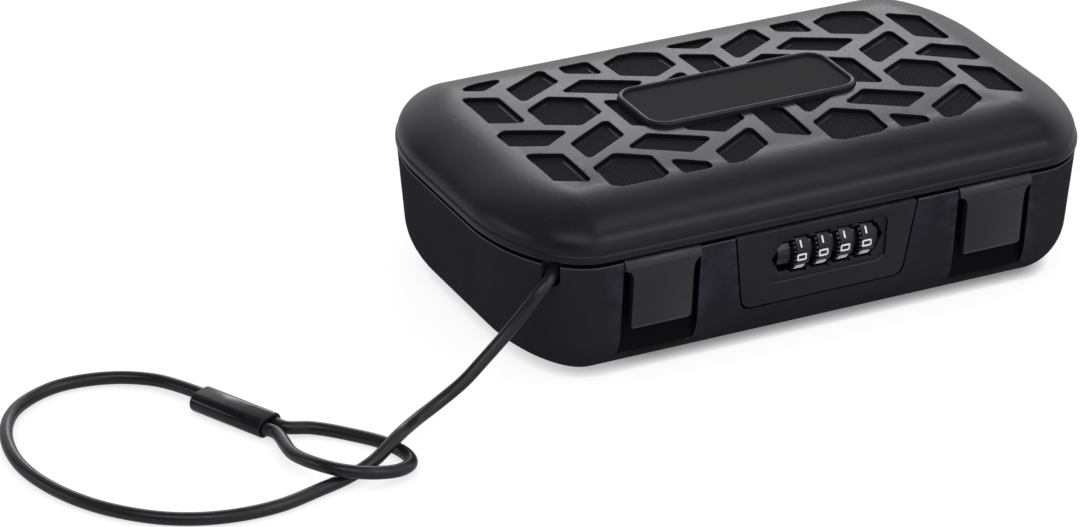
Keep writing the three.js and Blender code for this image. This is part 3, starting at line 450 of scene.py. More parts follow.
# Small helpers for pieces and meshes
def addPiece(name, data, body, materials, node, centred=True):
    if centred:
        data.transform(Matrix.Translation((0, caseShiftY, 0)))
    piece = bpy.data.objects.new(name, data)
    scene.collection.objects.link(piece)
    for index, material in enumerate(materials):
        if index < len(data.materials):
            data.materials[index] = material
        else:
            data.materials.append(material)
    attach(piece, body)
    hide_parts(node)
    return piece


def shadeByAngle(mesh, degrees):
    mesh.shade_smooth()
    mesh.set_sharp_from_angle(angle=math.radians(degrees))


def addShell(name, mesh, body, materials, node):
    shadeByAngle(mesh, 32)
    piece = addPiece(name, mesh, body, materials, node)
    piece.modifiers.new("evenShading", "WEIGHTED_NORMAL").keep_sharp = True


def meshFrom(bm, name):
    mesh = bpy.data.meshes.new(name)
    bm.to_mesh(mesh)
    bm.free()
    return mesh


# Helpers are objects for booleans, and none is left at the end
def helperFrom(bm, name):
    helper = bpy.data.objects.new(name, meshFrom(bm, name))
    scene.collection.objects.link(helper)
    return helper


def meshOf(helper):
    mesh = helper.data
    bpy.data.objects.remove(helper)
    return mesh


def pourInto(bm, other):
    mesh = meshFrom(other, "poured")
    bm.from_mesh(mesh)
    bpy.data.meshes.remove(mesh)


def setFinish(mesh, index):
    for face in mesh.polygons:
        face.material_index = index


def carve(target, tool, operation="DIFFERENCE"):
    modifier = target.modifiers.new("carve", "BOOLEAN")
    modifier.operation = operation
    modifier.solver = "EXACT"
    modifier.object = tool
    graph = bpy.context.evaluated_depsgraph_get()
    carved = bpy.data.meshes.new_from_object(target.evaluated_get(graph))
    target.modifiers.clear()
    target.data = carved
    bpy.data.objects.remove(tool)


def edgesBetween(verts):
    ring = set(verts)
    return [edge for vert in verts for edge in vert.link_edges if edge.other_vert(vert) in ring]


def uniqueEdges(*rings):
    return list({edge for ring in rings for edge in edgesBetween(ring)})


# Edges that reach further along an axis than the given length
def edgesAlong(edges, axis, least):
    return [edge for edge in edges
            if abs(edge.verts[0].co[axis] - edge.verts[1].co[axis]) > least]


def bevelEdges(bm, edges, offset, segments, clamp=False):
    bmesh.ops.bevel(bm, geom=edges, offset=offset, segments=segments, profile=0.5,
                    affect="EDGES", clamp_overlap=clamp, material=-1)


# Draws faces out along a line
def drawOut(bm, faces, way, keep=True):
    made = bmesh.ops.extrude_face_region(bm, geom=faces, use_keep_orig=keep)
    moved = [item for item in made["geom"] if isinstance(item, bmesh.types.BMVert)]
    bmesh.ops.translate(bm, vec=way, verts=moved)


def addBox(bm, x0, x1, y0, y1, z0, z1):
    verts = bmesh.ops.create_cube(bm, size=1)["verts"]
    size = Matrix.Diagonal((x1 - x0, y1 - y0, z1 - z0, 1))
    middle = Matrix.Translation(((x0 + x1) / 2, (y0 + y1) / 2, (z0 + z1) / 2))
    bmesh.ops.transform(bm, matrix=middle @ size, verts=verts)
    return verts


def roundedBlock(bm, length, width, corner, z0, z1):
    verts = addBox(bm, -length / 2, length / 2, -width / 2, width / 2, z0, z1)
    upright = edgesAlong(uniqueEdges(verts), 2, (z1 - z0) / 2)
    bevelEdges(bm, upright, corner, segments=12)


def boxHelper(name, *sides):
    bm = bmesh.new()
    addBox(bm, *sides)
    return helperFrom(bm, name)


def boxAbout(name, centre, half, *sides):
    return boxHelper(name, centre - half, centre + half, *sides)


# A round bar along X
def barHelper(name, radius, x0, x1, y, z, sides=48):
    bm = bmesh.new()
    middle = Matrix.Translation(((x0 + x1) / 2, y, z))
    bmesh.ops.create_cone(bm, cap_ends=True, segments=sides, radius1=radius, radius2=radius,
                          depth=x1 - x0, matrix=middle @ Matrix.Rotation(math.pi / 2, 4, "Y"))
    return helperFrom(bm, name)


# A flat outline drawn out along a line, and then put in its place
def profileHelper(name, outline, way, place=Matrix()):
    bm = bmesh.new()
    verts = [bm.verts.new(corner) for corner in outline]
    drawOut(bm, bmesh.ops.contextual_create(bm, geom=verts)["faces"], way)
    bmesh.ops.transform(bm, matrix=place, verts=bm.verts)
    bmesh.ops.recalc_face_normals(bm, faces=bm.faces)
    return helperFrom(bm, name)


# How far each step of a quarter round lies from its two tangents
def quarterRound(radius, angles):
    turns = [math.radians(angle) for angle in angles]
    return [(radius * (1 - math.cos(turn)), radius * (1 - math.sin(turn))) for turn in turns]


# Joins rings of vertices to a skin and caps both ends
def joinRings(bm, rings):
    caps = [uniqueEdges(rings[0]), uniqueEdges(rings[-1])]
    for low, high in zip(rings, rings[1:]):
        bmesh.ops.bridge_loops(bm, edges=uniqueEdges(low, high))
    for cap in caps:
        bmesh.ops.contextual_create(bm, geom=cap)


# The cable's way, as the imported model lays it: lengths without mm are in millimetres
cable = {
    "diameter": 4.5 * mm,
    "exitTurn": math.radians(36),
    "exitDip": math.radians(25),
    "exitHeight": 41.8,
    "cornerMiddle": (-86, -22),
    "cornerReach": (29, 48),
    "strandOut": 2.4,
    "strandIn": 0.3,
    "straight": 4.5,
    "inside": 4.6,
    "wall": 2.25,
    "stepsPerSpan": 12,
    "ferruleBack": (-215.5, -22.4, 3.5),
    "ferruleFront": (-201.8, -50.6, 3.5),
    "run": [
        (-108, -63.2, 38.4), (-113.8, -63.4, 32.2), (-120.3, -63.6, 25.9), (-130, -65, 18.4),
        (-138, -66.6, 13), (-148, -68.7, 8.6), (-158.3, -73.6, 7), (-169.1, -82.2, 7.5),
        (-181.4, -89.4, 4.4), (-191.3, -92.2, 2.5), (-203, -95.6, 2.3), (-218.7, -99.6, 2.3),
        (-233.3, -99.4, 2.3), (-246.6, -95.8, 2.3), (-258.6, -88.7, 2.3), (-272.2, -74.2, 2.3),
        (-281.8, -54.7, 2.3), (-285.2, -34.5, 2.3), (-281.2, -13, 2.3), (-272, 0.5, 2.3),
        (-255.3, 8.6, 2.3), (-237.5, 6.4, 2.5), (-224.2, -2.7, 3),
    ],
    "eye": [
        (-188.8, -56.6, 2.5), (-178.9, -66.2, 2.3), (-171.4, -76.4, 2.3), (-168.2, -86, 2.3),
        (-169.7, -93.4, 2.9), (-176, -97.9, 4), (-185.8, -99, 6), (-194.6, -95.4, 7.2),
        (-200.3, -87.6, 7), (-203.4, -74.2, 5),
    ],
}

ferrule = {
    "width": 11.4 * mm,
    "height": 7 * mm,
    "corner": 3.4 * mm,
    "edge": 0.8 * mm,
    "lip": 0.35 * mm,
    "lipWall": 0.6 * mm,
    "lipBevel": 0.15 * mm,
    "lipTaper": 0.2 * mm,
    "lipDepth": 0.8 * mm,
}

# Millimetres round the case's middle to metres in the frame
def inFrame(point):
    return (point.x * mm, point.y * mm + caseShiftY, point.z * mm)


# A smooth line through the points, with spans timed by the root of their length
def smoothPath(points, steps):
    points = [Vector(point) for point in points]
    first = points[0] * 2 - points[1]
    last = points[-1] * 2 - points[-2]
    around = [first] + points + [last]
    path = []
    for p0, p1, p2, p3 in zip(around, around[1:], around[2:], around[3:]):
        t0, t1, t2 = (math.sqrt((b - a).length) for a, b in ((p0, p1), (p1, p2), (p2, p3)))
        start = ((p1 - p0) / t0 - (p2 - p0) / (t0 + t1) + (p2 - p1) / t1) * t1
        end = ((p2 - p1) / t1 - (p3 - p1) / (t1 + t2) + (p3 - p2) / t2) * t1
        for step in range(steps):
            t = step / steps
            path.append(p1 * (2 * t ** 3 - 3 * t ** 2 + 1) + start * (t ** 3 - 2 * t ** 2 + t)
                        + p2 * (3 * t ** 2 - 2 * t ** 3) + end * (t ** 3 - t ** 2))
    path.append(points[-1])
    return [Vector(inFrame(point)) for point in path]


# Where the cable leaves the corner, its way there, and that way laid level
def exitPlace():
    turn, dip = cable["exitTurn"], cable["exitDip"]
    (middleX, middleY), (reachX, reachY) = cable["cornerMiddle"], cable["cornerReach"]
    place = Vector((middleX - reachX * math.sin(turn), middleY - reachY * math.cos(turn),
                    cable["exitHeight"]))
    level = Vector((-math.sin(turn) / reachX, -math.cos(turn) / reachY, 0)).normalized()
    way = level * math.cos(dip) - Vector((0, 0, math.sin(dip)))
    return place, way, level


# A matrix with its Y along the cable at the exit
def exitFrame():
    place, _, level = exitPlace()
    turn = Matrix((upwards.cross(level) * -1, level, upwards)).transposed().to_4x4()
    turn.translation = place * mm
    return turn


def cableEnds():
    back, front = Vector(cable["ferruleBack"]), Vector(cable["ferruleFront"])
    along = (front - back).normalized()
    return back, front, along, Vector((-along.y, along.x, 0))


# The dipped oval sleeve, rounded behind and open in front
def buildFerrule():
    back, front, along, side = cableEnds()
    length = (front - back).length * mm
    edge, lip, wall = ferrule["edge"], ferrule["lip"], ferrule["lipWall"]
    rings = [(edge, 0)]
    rings += [(inset, reach) for reach, inset in quarterRound(edge, (22.5, 45, 67.5, 90))]
    rings += [(inset, length - short) for inset, short in quarterRound(lip, (0, 30, 60, 90))]
    rings += [(wall, length), (wall + ferrule["lipBevel"], length - ferrule["lipBevel"]),
              (wall + ferrule["lipTaper"], length - ferrule["lipDepth"])]
    bm = bmesh.new()
    made = []
    for inset, reach in rings:
        ring = bmesh.ops.create_circle(bm, segments=64, radius=1)["verts"]
        half = Vector((ferrule["width"] / 2 - inset, ferrule["height"] / 2 - inset))
        corner = ferrule["corner"] - inset
        for vert in ring:
            turn = math.atan2(vert.co.y, vert.co.x)
            vert.co = (math.copysign(half.x - corner, vert.co.x) + corner * math.cos(turn),
                       math.copysign(half.y - corner, vert.co.y) + corner * math.sin(turn), reach)
        made.append(ring)
    joinRings(bm, made)
    place = Matrix((side, upwards, along)).transposed().to_4x4()
    place.translation = back * mm
    bmesh.ops.transform(bm, matrix=place, verts=bm.verts)
    bmesh.ops.recalc_face_normals(bm, faces=bm.faces)
    mesh = meshFrom(bm, "ferruleSleeve")
    shadeByAngle(mesh, 50)
    return mesh


def layCord(name, node, points):
    path = smoothPath(points, cable["stepsPerSpan"])
    curve = bpy.data.curves.new(name, "CURVE")
    curve.dimensions = "3D"
    spline = curve.splines.new("POLY")
    spline.points.add(len(path) - 1)
    for point, place in zip(spline.points, path):
        point.co = (*place, 1)
    curve.bevel_depth = cable["diameter"] / 2
    curve.bevel_resolution = 7
    curve.use_fill_caps = True
    piece = addPiece(name, curve, "case", [cableBlack], node, centred=False)


def layCable():
    back, front, along, side = cableEnds()
    place, way, _ = exitPlace()
    sleeve = addPiece("ferruleSleeve", buildFerrule(), "case", [ferruleBlack],
                      "cable_ferrule")
    out, sunk, straight = side * cable["strandOut"], along * cable["strandIn"], cable["straight"]
    end = back + out - sunk
    layCord("cableRun", "cable_run",
            [place - way * cable["inside"], place + way * cable["wall"], *cable["run"],
             end - along * straight, end])
    near, far = front + out + sunk, front - out + sunk
    layCord("cableEye", "cable_eye",
            [near, near + along * straight, *cable["eye"], far + along * straight, far])


layCable()
print("cable laid")


# The case's plan outline and its heights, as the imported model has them
case = {
    "halfLength": 115 * mm,
    "halfWidth": 70 * mm,
    "cornerLength": 29 * mm,
    "cornerWidth": 48 * mm,
    "leastCorner": 5 * mm,
    "cornerSteps": 22,
    "longSteps": 16,
    "shortSteps": 5,
    "parting": 46 * mm,
    "draft": 4 * mm,
    "wallLean": math.atan2(4, 46),
}

lid = {
    "foot": 47.5 * mm,
    "footRound": 1.0 * mm,
    "bandTop": 50.4 * mm,
    "bandSteps": ((0, -0.8 * mm), (0.06 * mm, -0.45 * mm), (0.2 * mm, -0.15 * mm),
                  (0.42 * mm, 0.05 * mm)),
    "seatUnderDome": 0.15 * mm,
    "domeFoot": 50.8 * mm,
    "domeHeight": 13.2 * mm,
    "domeReach": 26 * mm,
    "domeSteps": 28,
    "crownHeight": 1.4 * mm,
    "crownMargin": 1 * mm,
    "crownSteps": 7,
    "proud": 0.55 * mm,
    "edgeInset": 0.1 * mm,
    "wall": 2.5 * mm,
    "topWall": 3.4 * mm,
    "hollowBelow": 8 * mm,
}
lid["domeTop"] = lid["domeFoot"] + lid["domeHeight"]
lid["top"] = lid["domeTop"] + lid["crownHeight"]
lid["crownEnd"] = case["halfWidth"] - case["leastCorner"] - lid["crownMargin"]


# Corner radii and straight halves of the plan, drawn in by an inset
def planSizes(inset):
    along = max(case["cornerLength"] - inset, case["leastCorner"])
    across = max(case["cornerWidth"] - inset, case["leastCorner"])
    return along, across, case["halfLength"] - inset - along, case["halfWidth"] - inset - across


def planOutline(inset):
    along, across, straightX, straightY = planSizes(inset)
    corners = []
    for quarter, (signX, signY) in enumerate(((1, 1), (-1, 1), (-1, -1), (1, -1))):
        turns = [math.pi / 2 * (quarter + step / case["cornerSteps"])
                 for step in range(case["cornerSteps"] + 1)]
        corners.append([Vector((signX * straightX + along * math.cos(turn),
                                signY * straightY + across * math.sin(turn))) for turn in turns])
    places = []
    for quarter, corner in enumerate(corners):
        runs = case["shortSteps"] if quarter % 2 else case["longSteps"]
        ahead = corners[(quarter + 1) % 4][0]
        places += corner + [corner[-1].lerp(ahead, step / runs) for step in range(1, runs)]
    return places


def addRing(bm, inset, z):
    places = planOutline(inset)
    ring = bmesh.ops.create_circle(bm, segments=len(places), radius=1)["verts"]
    for vert, place in zip(ring, places):
        vert.co = (place.x, place.y, z)
    return ring


# A closed skin through rings of plan outlines
def loftRings(rings):
    bm = bmesh.new()
    joinRings(bm, [addRing(bm, inset, z) for inset, z in rings])
    bmesh.ops.recalc_face_normals(bm, faces=bm.faces)
    return bm


def domeRings(edgeInset, footZ, reach, height, steps):
    turns = [math.pi / 2 * step / steps for step in range(steps + 1)]
    return [(edgeInset + reach * (1 - math.cos(turn)), footZ + height * math.sin(turn))
            for turn in turns]


def crownRings(inset, z):
    reach, steps = lid["crownEnd"] - inset, lid["crownSteps"]
    shares = [(step + 1) / steps for step in range(steps)]
    return [(inset + reach * share, z + lid["crownHeight"] * (1 - (1 - share) ** 2))
            for share in shares]


# Height of the lid's outer skin over a place in plan, by the inset of its ring
def lidHeight(x, y):
    x, y = abs(x), abs(y)

    def outside(inset):
        along, across, straightX, straightY = planSizes(inset)
        overX, overY = x - straightX, y - straightY
        if overX > 0 and overY > 0:
            return (overX / along) ** 2 + (overY / across) ** 2 > 1
        return overX > along or overY > across

    low, high = lid["edgeInset"], lid["crownEnd"]
    for _ in range(30):
        middle = (low + high) / 2
        if outside(middle):
            high = middle
        else:
            low = middle
    domeEnd = lid["edgeInset"] + lid["domeReach"]
    if low < domeEnd:
        cosine = 1 - (low - lid["edgeInset"]) / lid["domeReach"]
        return lid["domeFoot"] + lid["domeHeight"] * math.sqrt(max(0, 1 - cosine ** 2))
    share = (low - domeEnd) / (lid["crownEnd"] - domeEnd)
    return lid["domeTop"] + lid["crownHeight"] * (1 - (1 - min(1, share)) ** 2)


# Pockets sunk in the lid top: hexagons with a whirl of slanted pockets round each
pockets = {
    "hexagonSide": 15 * mm,
    "whirlSide": 18.8 * mm,
    "rib": 4 * mm,
    "endTrim": 1.4 * mm,
    "sideTrim": 0.5 * mm,
    "columns": (-3, 4),
    "rows": (-4, 5),
    "depth": 1.6 * mm,
    "fieldLength": 186 * mm,
    "fieldWidth": 98 * mm,
    "fieldCorner": 14 * mm,
    "fieldMiddle": 1.8 * mm,
    "flatFoot": -1 * mm,
    "flatTop": 2 * mm,
    "shift": (-18.7 * mm, -12 * mm),
    "stretch": (1.014, 1.06, 1),
    "stretchShift": (-0.4 * mm, -1.5 * mm, 0),
    "leastSeen": 25 * mm * mm,
    "leastAtEdge": 50 * mm * mm,
    "edgeFrom": 40 * mm,
    "rimRound": 0.45 * mm,
    "rimStart": 0.2 * mm,
    "rimLift": 0.1 * mm,
    "rimTurns": (20, 45, 70, 90),
    "footTurns": (45, 90),
    "over": 4 * mm,
    "cornerRound": 0.3 * mm,
    "cornerFrom": math.radians(14),
    "cornerRoom": 0.45,
    "leastEdge": 0.5 * mm,
    "wallDraft": 0.2 * mm,
    "footRound": 0.3 * mm,
    "plainMargin": 0.9 * mm,
    "drapeStep": 6 * mm,
    "drapePhase": 0.37,
}

plate = {
    "length": 83.6 * mm,
    "width": 33.6 * mm,
    "corner": 8 * mm,
    "seatDepth": 2.2 * mm,
    "sunk": 1.9 * mm,
    "proud": 1.6 * mm,
    "rim": 2 * mm,
    "fieldDepth": 1 * mm,
    "rimRound": 0.94 * mm,
    "seam": 0.3 * mm,
}


# Flat outlines of every pocket
def addPocketOutlines(bm):
    slant = math.pi / 6
    sideIn = pockets["rib"] / 2
    endIn = sideIn / math.cos(slant)
    hexagonRadius = pockets["hexagonSide"] - endIn
    pitch = pockets["hexagonSide"] * 2 + pockets["whirlSide"]
    halfRun = pockets["hexagonSide"] * math.cos(slant) - sideIn - pockets["endTrim"]
    halfTall = pockets["whirlSide"] / 2 - endIn - pockets["sideTrim"]
    shear = Matrix(((halfRun, 0, 0, 0), (halfRun * math.tan(slant), halfTall, 0, 0),
                    (0, 0, 1, 0), (0, 0, 0, 1)))
    out = Matrix.Translation((0, pitch / 2, 0))
    for column in range(*pockets["columns"]):
        for row in range(*pockets["rows"]):
            cell = Matrix.Translation((
                pockets["shift"][0] + column * (pitch * math.cos(slant)),
                pockets["shift"][1] + row * pitch + column * pitch / 2, 0))
            bmesh.ops.create_circle(bm, cap_ends=True, segments=6, radius=hexagonRadius, matrix=cell)
            for arm in range(3):
                turn = Matrix.Rotation(-arm * math.pi / 3, 4, "Z")
                square = bmesh.ops.create_grid(bm, x_segments=1, y_segments=1, size=1)["verts"]
                bmesh.ops.transform(bm, matrix=cell @ turn @ out @ shear, verts=square)
    bmesh.ops.transform(bm, matrix=Matrix.Diagonal((*pockets["stretch"], 1)), verts=bm.verts)
    bmesh.ops.translate(bm, vec=pockets["stretchShift"], verts=bm.verts)


def tidyFlats(bm, angle):
    bmesh.ops.dissolve_limit(bm, angle_limit=angle, verts=bm.verts[:], edges=bm.edges[:],
                             delimit=set())


def seatHelper(z0, z1):
    seat = bmesh.new()
    seam = plate["seam"]
    roundedBlock(seat, plate["length"] + seam * 2, plate["width"] + seam * 2,
                 plate["corner"] + seam, z0, z1)
    return helperFrom(seat, "plateSeat")


# Pocket outlines clipped by the rounded field, and by the plate's seat where that is asked
def clippedPockets(bySeat):
    foot, top = pockets["flatFoot"], pockets["flatTop"]
    flat = bmesh.new()
    addPocketOutlines(flat)
    drawOut(flat, flat.faces[:], (0, 0, 1 * mm))
    bmesh.ops.recalc_face_normals(flat, faces=flat.faces)
    whole = helperFrom(flat, "pocketOutlines")
    block = bmesh.new()
    roundedBlock(block, pockets["fieldLength"], pockets["fieldWidth"], pockets["fieldCorner"],
                 foot, top)
    bmesh.ops.translate(block, vec=(pockets["fieldMiddle"], 0, 0), verts=block.verts)
    carve(whole, helperFrom(block, "pocketField"), "INTERSECT")
    if bySeat:
        carve(whole, seatHelper(foot, top))
    bm = bmesh.new()
    bm.from_mesh(meshOf(whole))
    lower = [face for face in bm.faces if face.normal.z < 0.5]
    bmesh.ops.delete(bm, geom=lower, context="FACES")
    tidyFlats(bm, 0.01)
    return bm


# The level way out of a shape, square to a run of its outline
def outOf(run, fromMiddle):
    out = Vector((run.y, -run.x, 0)).normalized()
    return -out if out.dot(fromMiddle) < 0 else out


# The floor of one pocket: its outline drawn in on every side, with small round corners
def addPocketFloor(bm, corners, inward):
    flat = bmesh.new()
    verts = [flat.verts.new(corner) for corner in corners]
    face = bmesh.ops.contextual_create(flat, geom=verts)["faces"][0]
    middle = face.calc_center_median()
    for one, other in zip(corners, corners[1:] + corners[:1]):
        out = outOf(other - one, one - middle)
        bmesh.ops.bisect_plane(flat, geom=flat.verts[:] + flat.edges[:] + flat.faces[:],
                               plane_co=one - out * inward, plane_no=out, clear_outer=True)
    bmesh.ops.remove_doubles(flat, verts=flat.verts, dist=pockets["leastEdge"])
    turns = {}
    for vert in flat.verts:
        one, other = (edge.other_vert(vert).co - vert.co for edge in vert.link_edges)
        turns[vert] = math.pi - one.angle(other)
    for vert, turn in turns.items():
        if turn > pockets["cornerFrom"]:
            room = min(edge.calc_length() for edge in vert.link_edges) * pockets["cornerRoom"]
            reach = min(pockets["cornerRound"] * math.tan(turn / 2), room)
            bmesh.ops.bevel(flat, geom=[vert], offset=reach, segments=4, profile=0.5,
                            affect="VERTICES", material=-1)
    pourInto(bm, flat)


# Floors of the pockets that show enough beside the plate and at the field's edge
def addPocketFloors(bm, inward):
    seen = clippedPockets(True)
    wanted = [face.calc_center_median() for face in seen.faces
              if face.calc_area() > pockets["leastSeen"]]
    seen.free()
    outlines = clippedPockets(False)
    tree = BVHTree.FromBMesh(outlines)
    found = {tree.find_nearest(place)[2] for place in wanted}
    outlines.faces.ensure_lookup_table()
    for index in sorted(found):
        face = outlines.faces[index]
        atEdge = abs(face.calc_center_median().y) > pockets["edgeFrom"]
        if not atEdge or face.calc_area() >= pockets["leastAtEdge"]:
            corners = [Vector((vert.co.x, vert.co.y, 0)) for vert in face.verts]
            addPocketFloor(bm, corners, inward)
    outlines.free()


# What cuts the pockets: a small round at the foot, a steep wall and a rounded rim, all draped
# on the dome
def pocketCutters():
    depth, soft, rim = pockets["depth"], pockets["footRound"], pockets["rimRound"]
    wall = soft + pockets["wallDraft"]
    bm = bmesh.new()
    addPocketFloors(bm, wall + pockets["plainMargin"])
    steps = [(0, 0)]
    for turn in map(math.radians, pockets["footTurns"]):
        steps.append((soft * math.sin(turn), soft * (1 - math.cos(turn))))
    steps.append((wall, depth - rim))
    steps += [(wall + out, depth - short) for out, short in quarterRound(rim, pockets["rimTurns"])]
    widest = wall + rim + pockets["rimStart"]
    steps += [(widest, depth + pockets["rimLift"]), (widest, depth + pockets["over"])]
    outwards = bm.verts.layers.float_vector.new("outwards")
    floors = set(bm.faces)
    for face in floors:
        middle = face.calc_center_median()
        for vert in face.verts:
            one, other = (outOf(edge.other_vert(vert).co - vert.co, vert.co - middle)
                          for edge in vert.link_edges)
            vert[outwards] = (one + other) / (1 + one.dot(other))
    raised = bmesh.ops.extrude_face_region(bm, geom=bm.faces[:], use_keep_orig=True)
    outward, up = -pockets["plainMargin"], 0
    for stepOut, stepUp in steps:
        if outward >= 0:
            raised = bmesh.ops.extrude_face_region(bm, geom=faces)
            bmesh.ops.delete(bm, geom=[face for face in faces if face.is_valid],
                             context="FACES_ONLY")
        faces = [item for item in raised["geom"] if isinstance(item, bmesh.types.BMFace)]
        for vert in {vert for face in faces for vert in face.verts}:
            vert.co += vert[outwards] * (stepOut - outward) + Vector((0, 0, stepUp - up))
        outward, up = stepOut, stepUp
    bm.normal_update()
    # Floors get the pocket floor finish, and steep walls painted shade
    for face in bm.faces:
        face.material_index = 1 if face in floors else 2 if abs(face.normal.z) < 0.75 else 0
    apart = pockets["drapeStep"]
    for across, reach in ((Vector((1, 0, 0)), pockets["fieldLength"] / 2),
                          (Vector((0, 1, 0)), pockets["fieldWidth"] / 2)):
        for step in range(-int(reach / apart), int(reach / apart) + 1):
            bmesh.ops.bisect_plane(bm, geom=bm.verts[:] + bm.edges[:] + bm.faces[:],
                                   plane_co=across * (step + pockets["drapePhase"]) * apart,
                                   plane_no=across, dist=0.00001 * mm)
    bmesh.ops.triangulate(bm, faces=bm.faces[:])
    for vert in bm.verts:
        vert.co.z += lidHeight(vert.co.x, vert.co.y) - depth
    bmesh.ops.recalc_face_normals(bm, faces=bm.faces)
    return bm


latches = {
    "centres": (-65.1 * mm, 65.1 * mm),
    "recessWidth": 29.4 * mm,
    "recessDepth": 5.5 * mm,
    "recessFoot": -5 * mm,
    "ledgeWidth": 12 * mm,
    "ledgeReach": 1.1 * mm,
    "ledgeFoot": 47.8 * mm,
    "ledgeHeight": 1.4 * mm,
    "windowHalf": 5.1 * mm,
    "windowFoot": 38.2 * mm,
    "windowFront": -70.45 * mm,
    "windowBack": -51.45 * mm,
    "pinReach": 17.1 * mm,
    "pinBore": 1.3 * mm,
    "barrelY": -66.05 * mm,
    "barrelZ": 42.6 * mm,
    "tabFrom": 43.2 * mm,
    "tabLift": 0.5,
}

hinges = {
    "centres": (-55 * mm, 55 * mm),
    "y": 72.4 * mm,
    "z": 46.2 * mm,
    "radius": 3 * mm,
    "lidHalf": 7 * mm,
    "seam": 0.3 * mm,
    "baseKnuckle": 7 * mm,
    "leafHeight": 8 * mm,
    "leafBack": 0.02 * mm,
    "pinRadius": 1.2 * mm,
    "runningGap": 0.3 * mm,
    "boreOver": 1 * mm,
}


def leafHelper(x0, x1, leafSign):
    y, z, radius = hinges["y"], hinges["z"], hinges["radius"]
    slant = radius * math.sqrt(0.5)
    front = y - radius + hinges["leafBack"]
    corners = ((front, z), (front, z + leafSign * hinges["leafHeight"]),
               (y + slant, z + leafSign * slant), (y, z))
    return profileHelper("leaf", [(x0, *corner) for corner in corners], (x1 - x0, 0, 0))


def hingeSpans(part):
    spans = []
    for centre in hinges["centres"]:
        inner = hinges["lidHalf"]
        outer = inner + hinges["seam"] + hinges["baseKnuckle"]
        if part == "lid":
            spans.append((centre - inner, centre + inner))
        else:
            spans += [(centre - outer, centre - inner - hinges["seam"]),
                      (centre + inner + hinges["seam"], centre + outer)]
    return spans


# Clears the other part's knuckles, and adds this part's own with their bores
def fitHinges(shell, own, other, leafSign):
    axis = (hinges["y"], hinges["z"])
    gap, seam, over = hinges["runningGap"], hinges["seam"], hinges["boreOver"]
    for x0, x1 in hingeSpans(other):
        carve(shell, barHelper("knuckleRoom", hinges["radius"] + gap, x0 - seam, x1 + seam, *axis))
    joined = bmesh.new()
    joined.from_mesh(shell.data)
    for x0, x1 in hingeSpans(own):
        knuckle = barHelper("knuckle", hinges["radius"], x0, x1, *axis)
        carve(knuckle, leafHelper(x0, x1, leafSign), "UNION")
        carve(knuckle, barHelper("hingeBore", hinges["pinRadius"] + gap, x0 - over, x1 + over,
                                 *axis, 24))
        joined.from_mesh(meshOf(knuckle))
    joined.to_mesh(shell.data)
    joined.free()


def buildLid():
    proud, edge, soft, wall = (lid[key] for key in ("proud", "edgeInset", "footRound", "wall"))
    foot, domeFoot, reach, topWall = (lid[key] for key in ("foot", "domeFoot", "domeReach", "topWall"))
    rings = [(soft - proud, foot)]
    rings += [(inset - proud, foot + rise)
              for rise, inset in quarterRound(soft, (15, 30, 45, 60, 75, 90))]
    rings += [(-proud + inwards, lid["bandTop"] + up) for inwards, up in lid["bandSteps"]]
    rings.append((edge, domeFoot - lid["seatUnderDome"]))
    rings += domeRings(edge, domeFoot, reach, lid["domeHeight"], lid["domeSteps"])
    rings += crownRings(edge + reach, lid["domeTop"])
    shell = helperFrom(loftRings(rings), "lidShape")
    inset = wall - proud
    inner = [(inset, foot - lid["hollowBelow"])]
    inner += domeRings(inset, domeFoot, reach - wall, lid["domeHeight"] - topWall,
                       lid["domeSteps"] // 2)
    inner += crownRings(inset + reach - wall, lid["domeTop"] - topWall)
    carve(shell, helperFrom(loftRings(inner), "lidHollow"))
    carve(shell, helperFrom(pocketCutters(), "pocketCutters"))
    carve(shell, seatHelper(lid["top"] - plate["seatDepth"], lid["top"] + 3 * mm))
    front = -(case["halfWidth"] + proud - wall)
    half, ledgeFoot = latches["ledgeWidth"] / 2, latches["ledgeFoot"]
    for centre in latches["centres"]:
        carve(shell, boxAbout("latchLedge", centre, half, front - wall / 2,
                              front + latches["ledgeReach"], ledgeFoot,
                              ledgeFoot + latches["ledgeHeight"]), "UNION")
    fitHinges(shell, "lid", "base", 1)
    return meshOf(shell)


addShell("lidShell", buildLid(), "lid", inPlastic("lid", "pocketFloor", "paintedShade"),
         "lid_shell")
print("lid made")


# Raised plate with a bare sunk field
def buildPlate():
    top = lid["top"] + plate["proud"]
    bm = bmesh.new()
    roundedBlock(bm, plate["length"], plate["width"], plate["corner"], lid["top"] - plate["sunk"], top)
    field = [face for face in bm.faces if face.normal.z > 0.9]
    bmesh.ops.inset_region(bm, faces=field, use_boundary=True, use_even_offset=True,
                           thickness=plate["rim"], depth=0)
    for face in field:
        face.material_index = 1
    drawOut(bm, field, (0, 0, -plate["fieldDepth"]), keep=False)
    bmesh.ops.delete(bm, geom=[face for face in field if face.is_valid], context="FACES_ONLY")
    bmesh.ops.recalc_face_normals(bm, faces=bm.faces)
    rims = [edge for edge in bm.edges if edge.calc_face_angle(0) > math.radians(60)
            and min(vert.co.z for vert in edge.verts) > top - 0.01 * mm]
    bevelEdges(bm, rims, plate["rimRound"], segments=4)
    mesh = meshFrom(bm, "lidPlate")
    shadeByAngle(mesh, 50)
    return mesh


addPiece("lidPlate", buildPlate(), "lid", inPlastic("plate", "plateField"),
         "lid_plate")


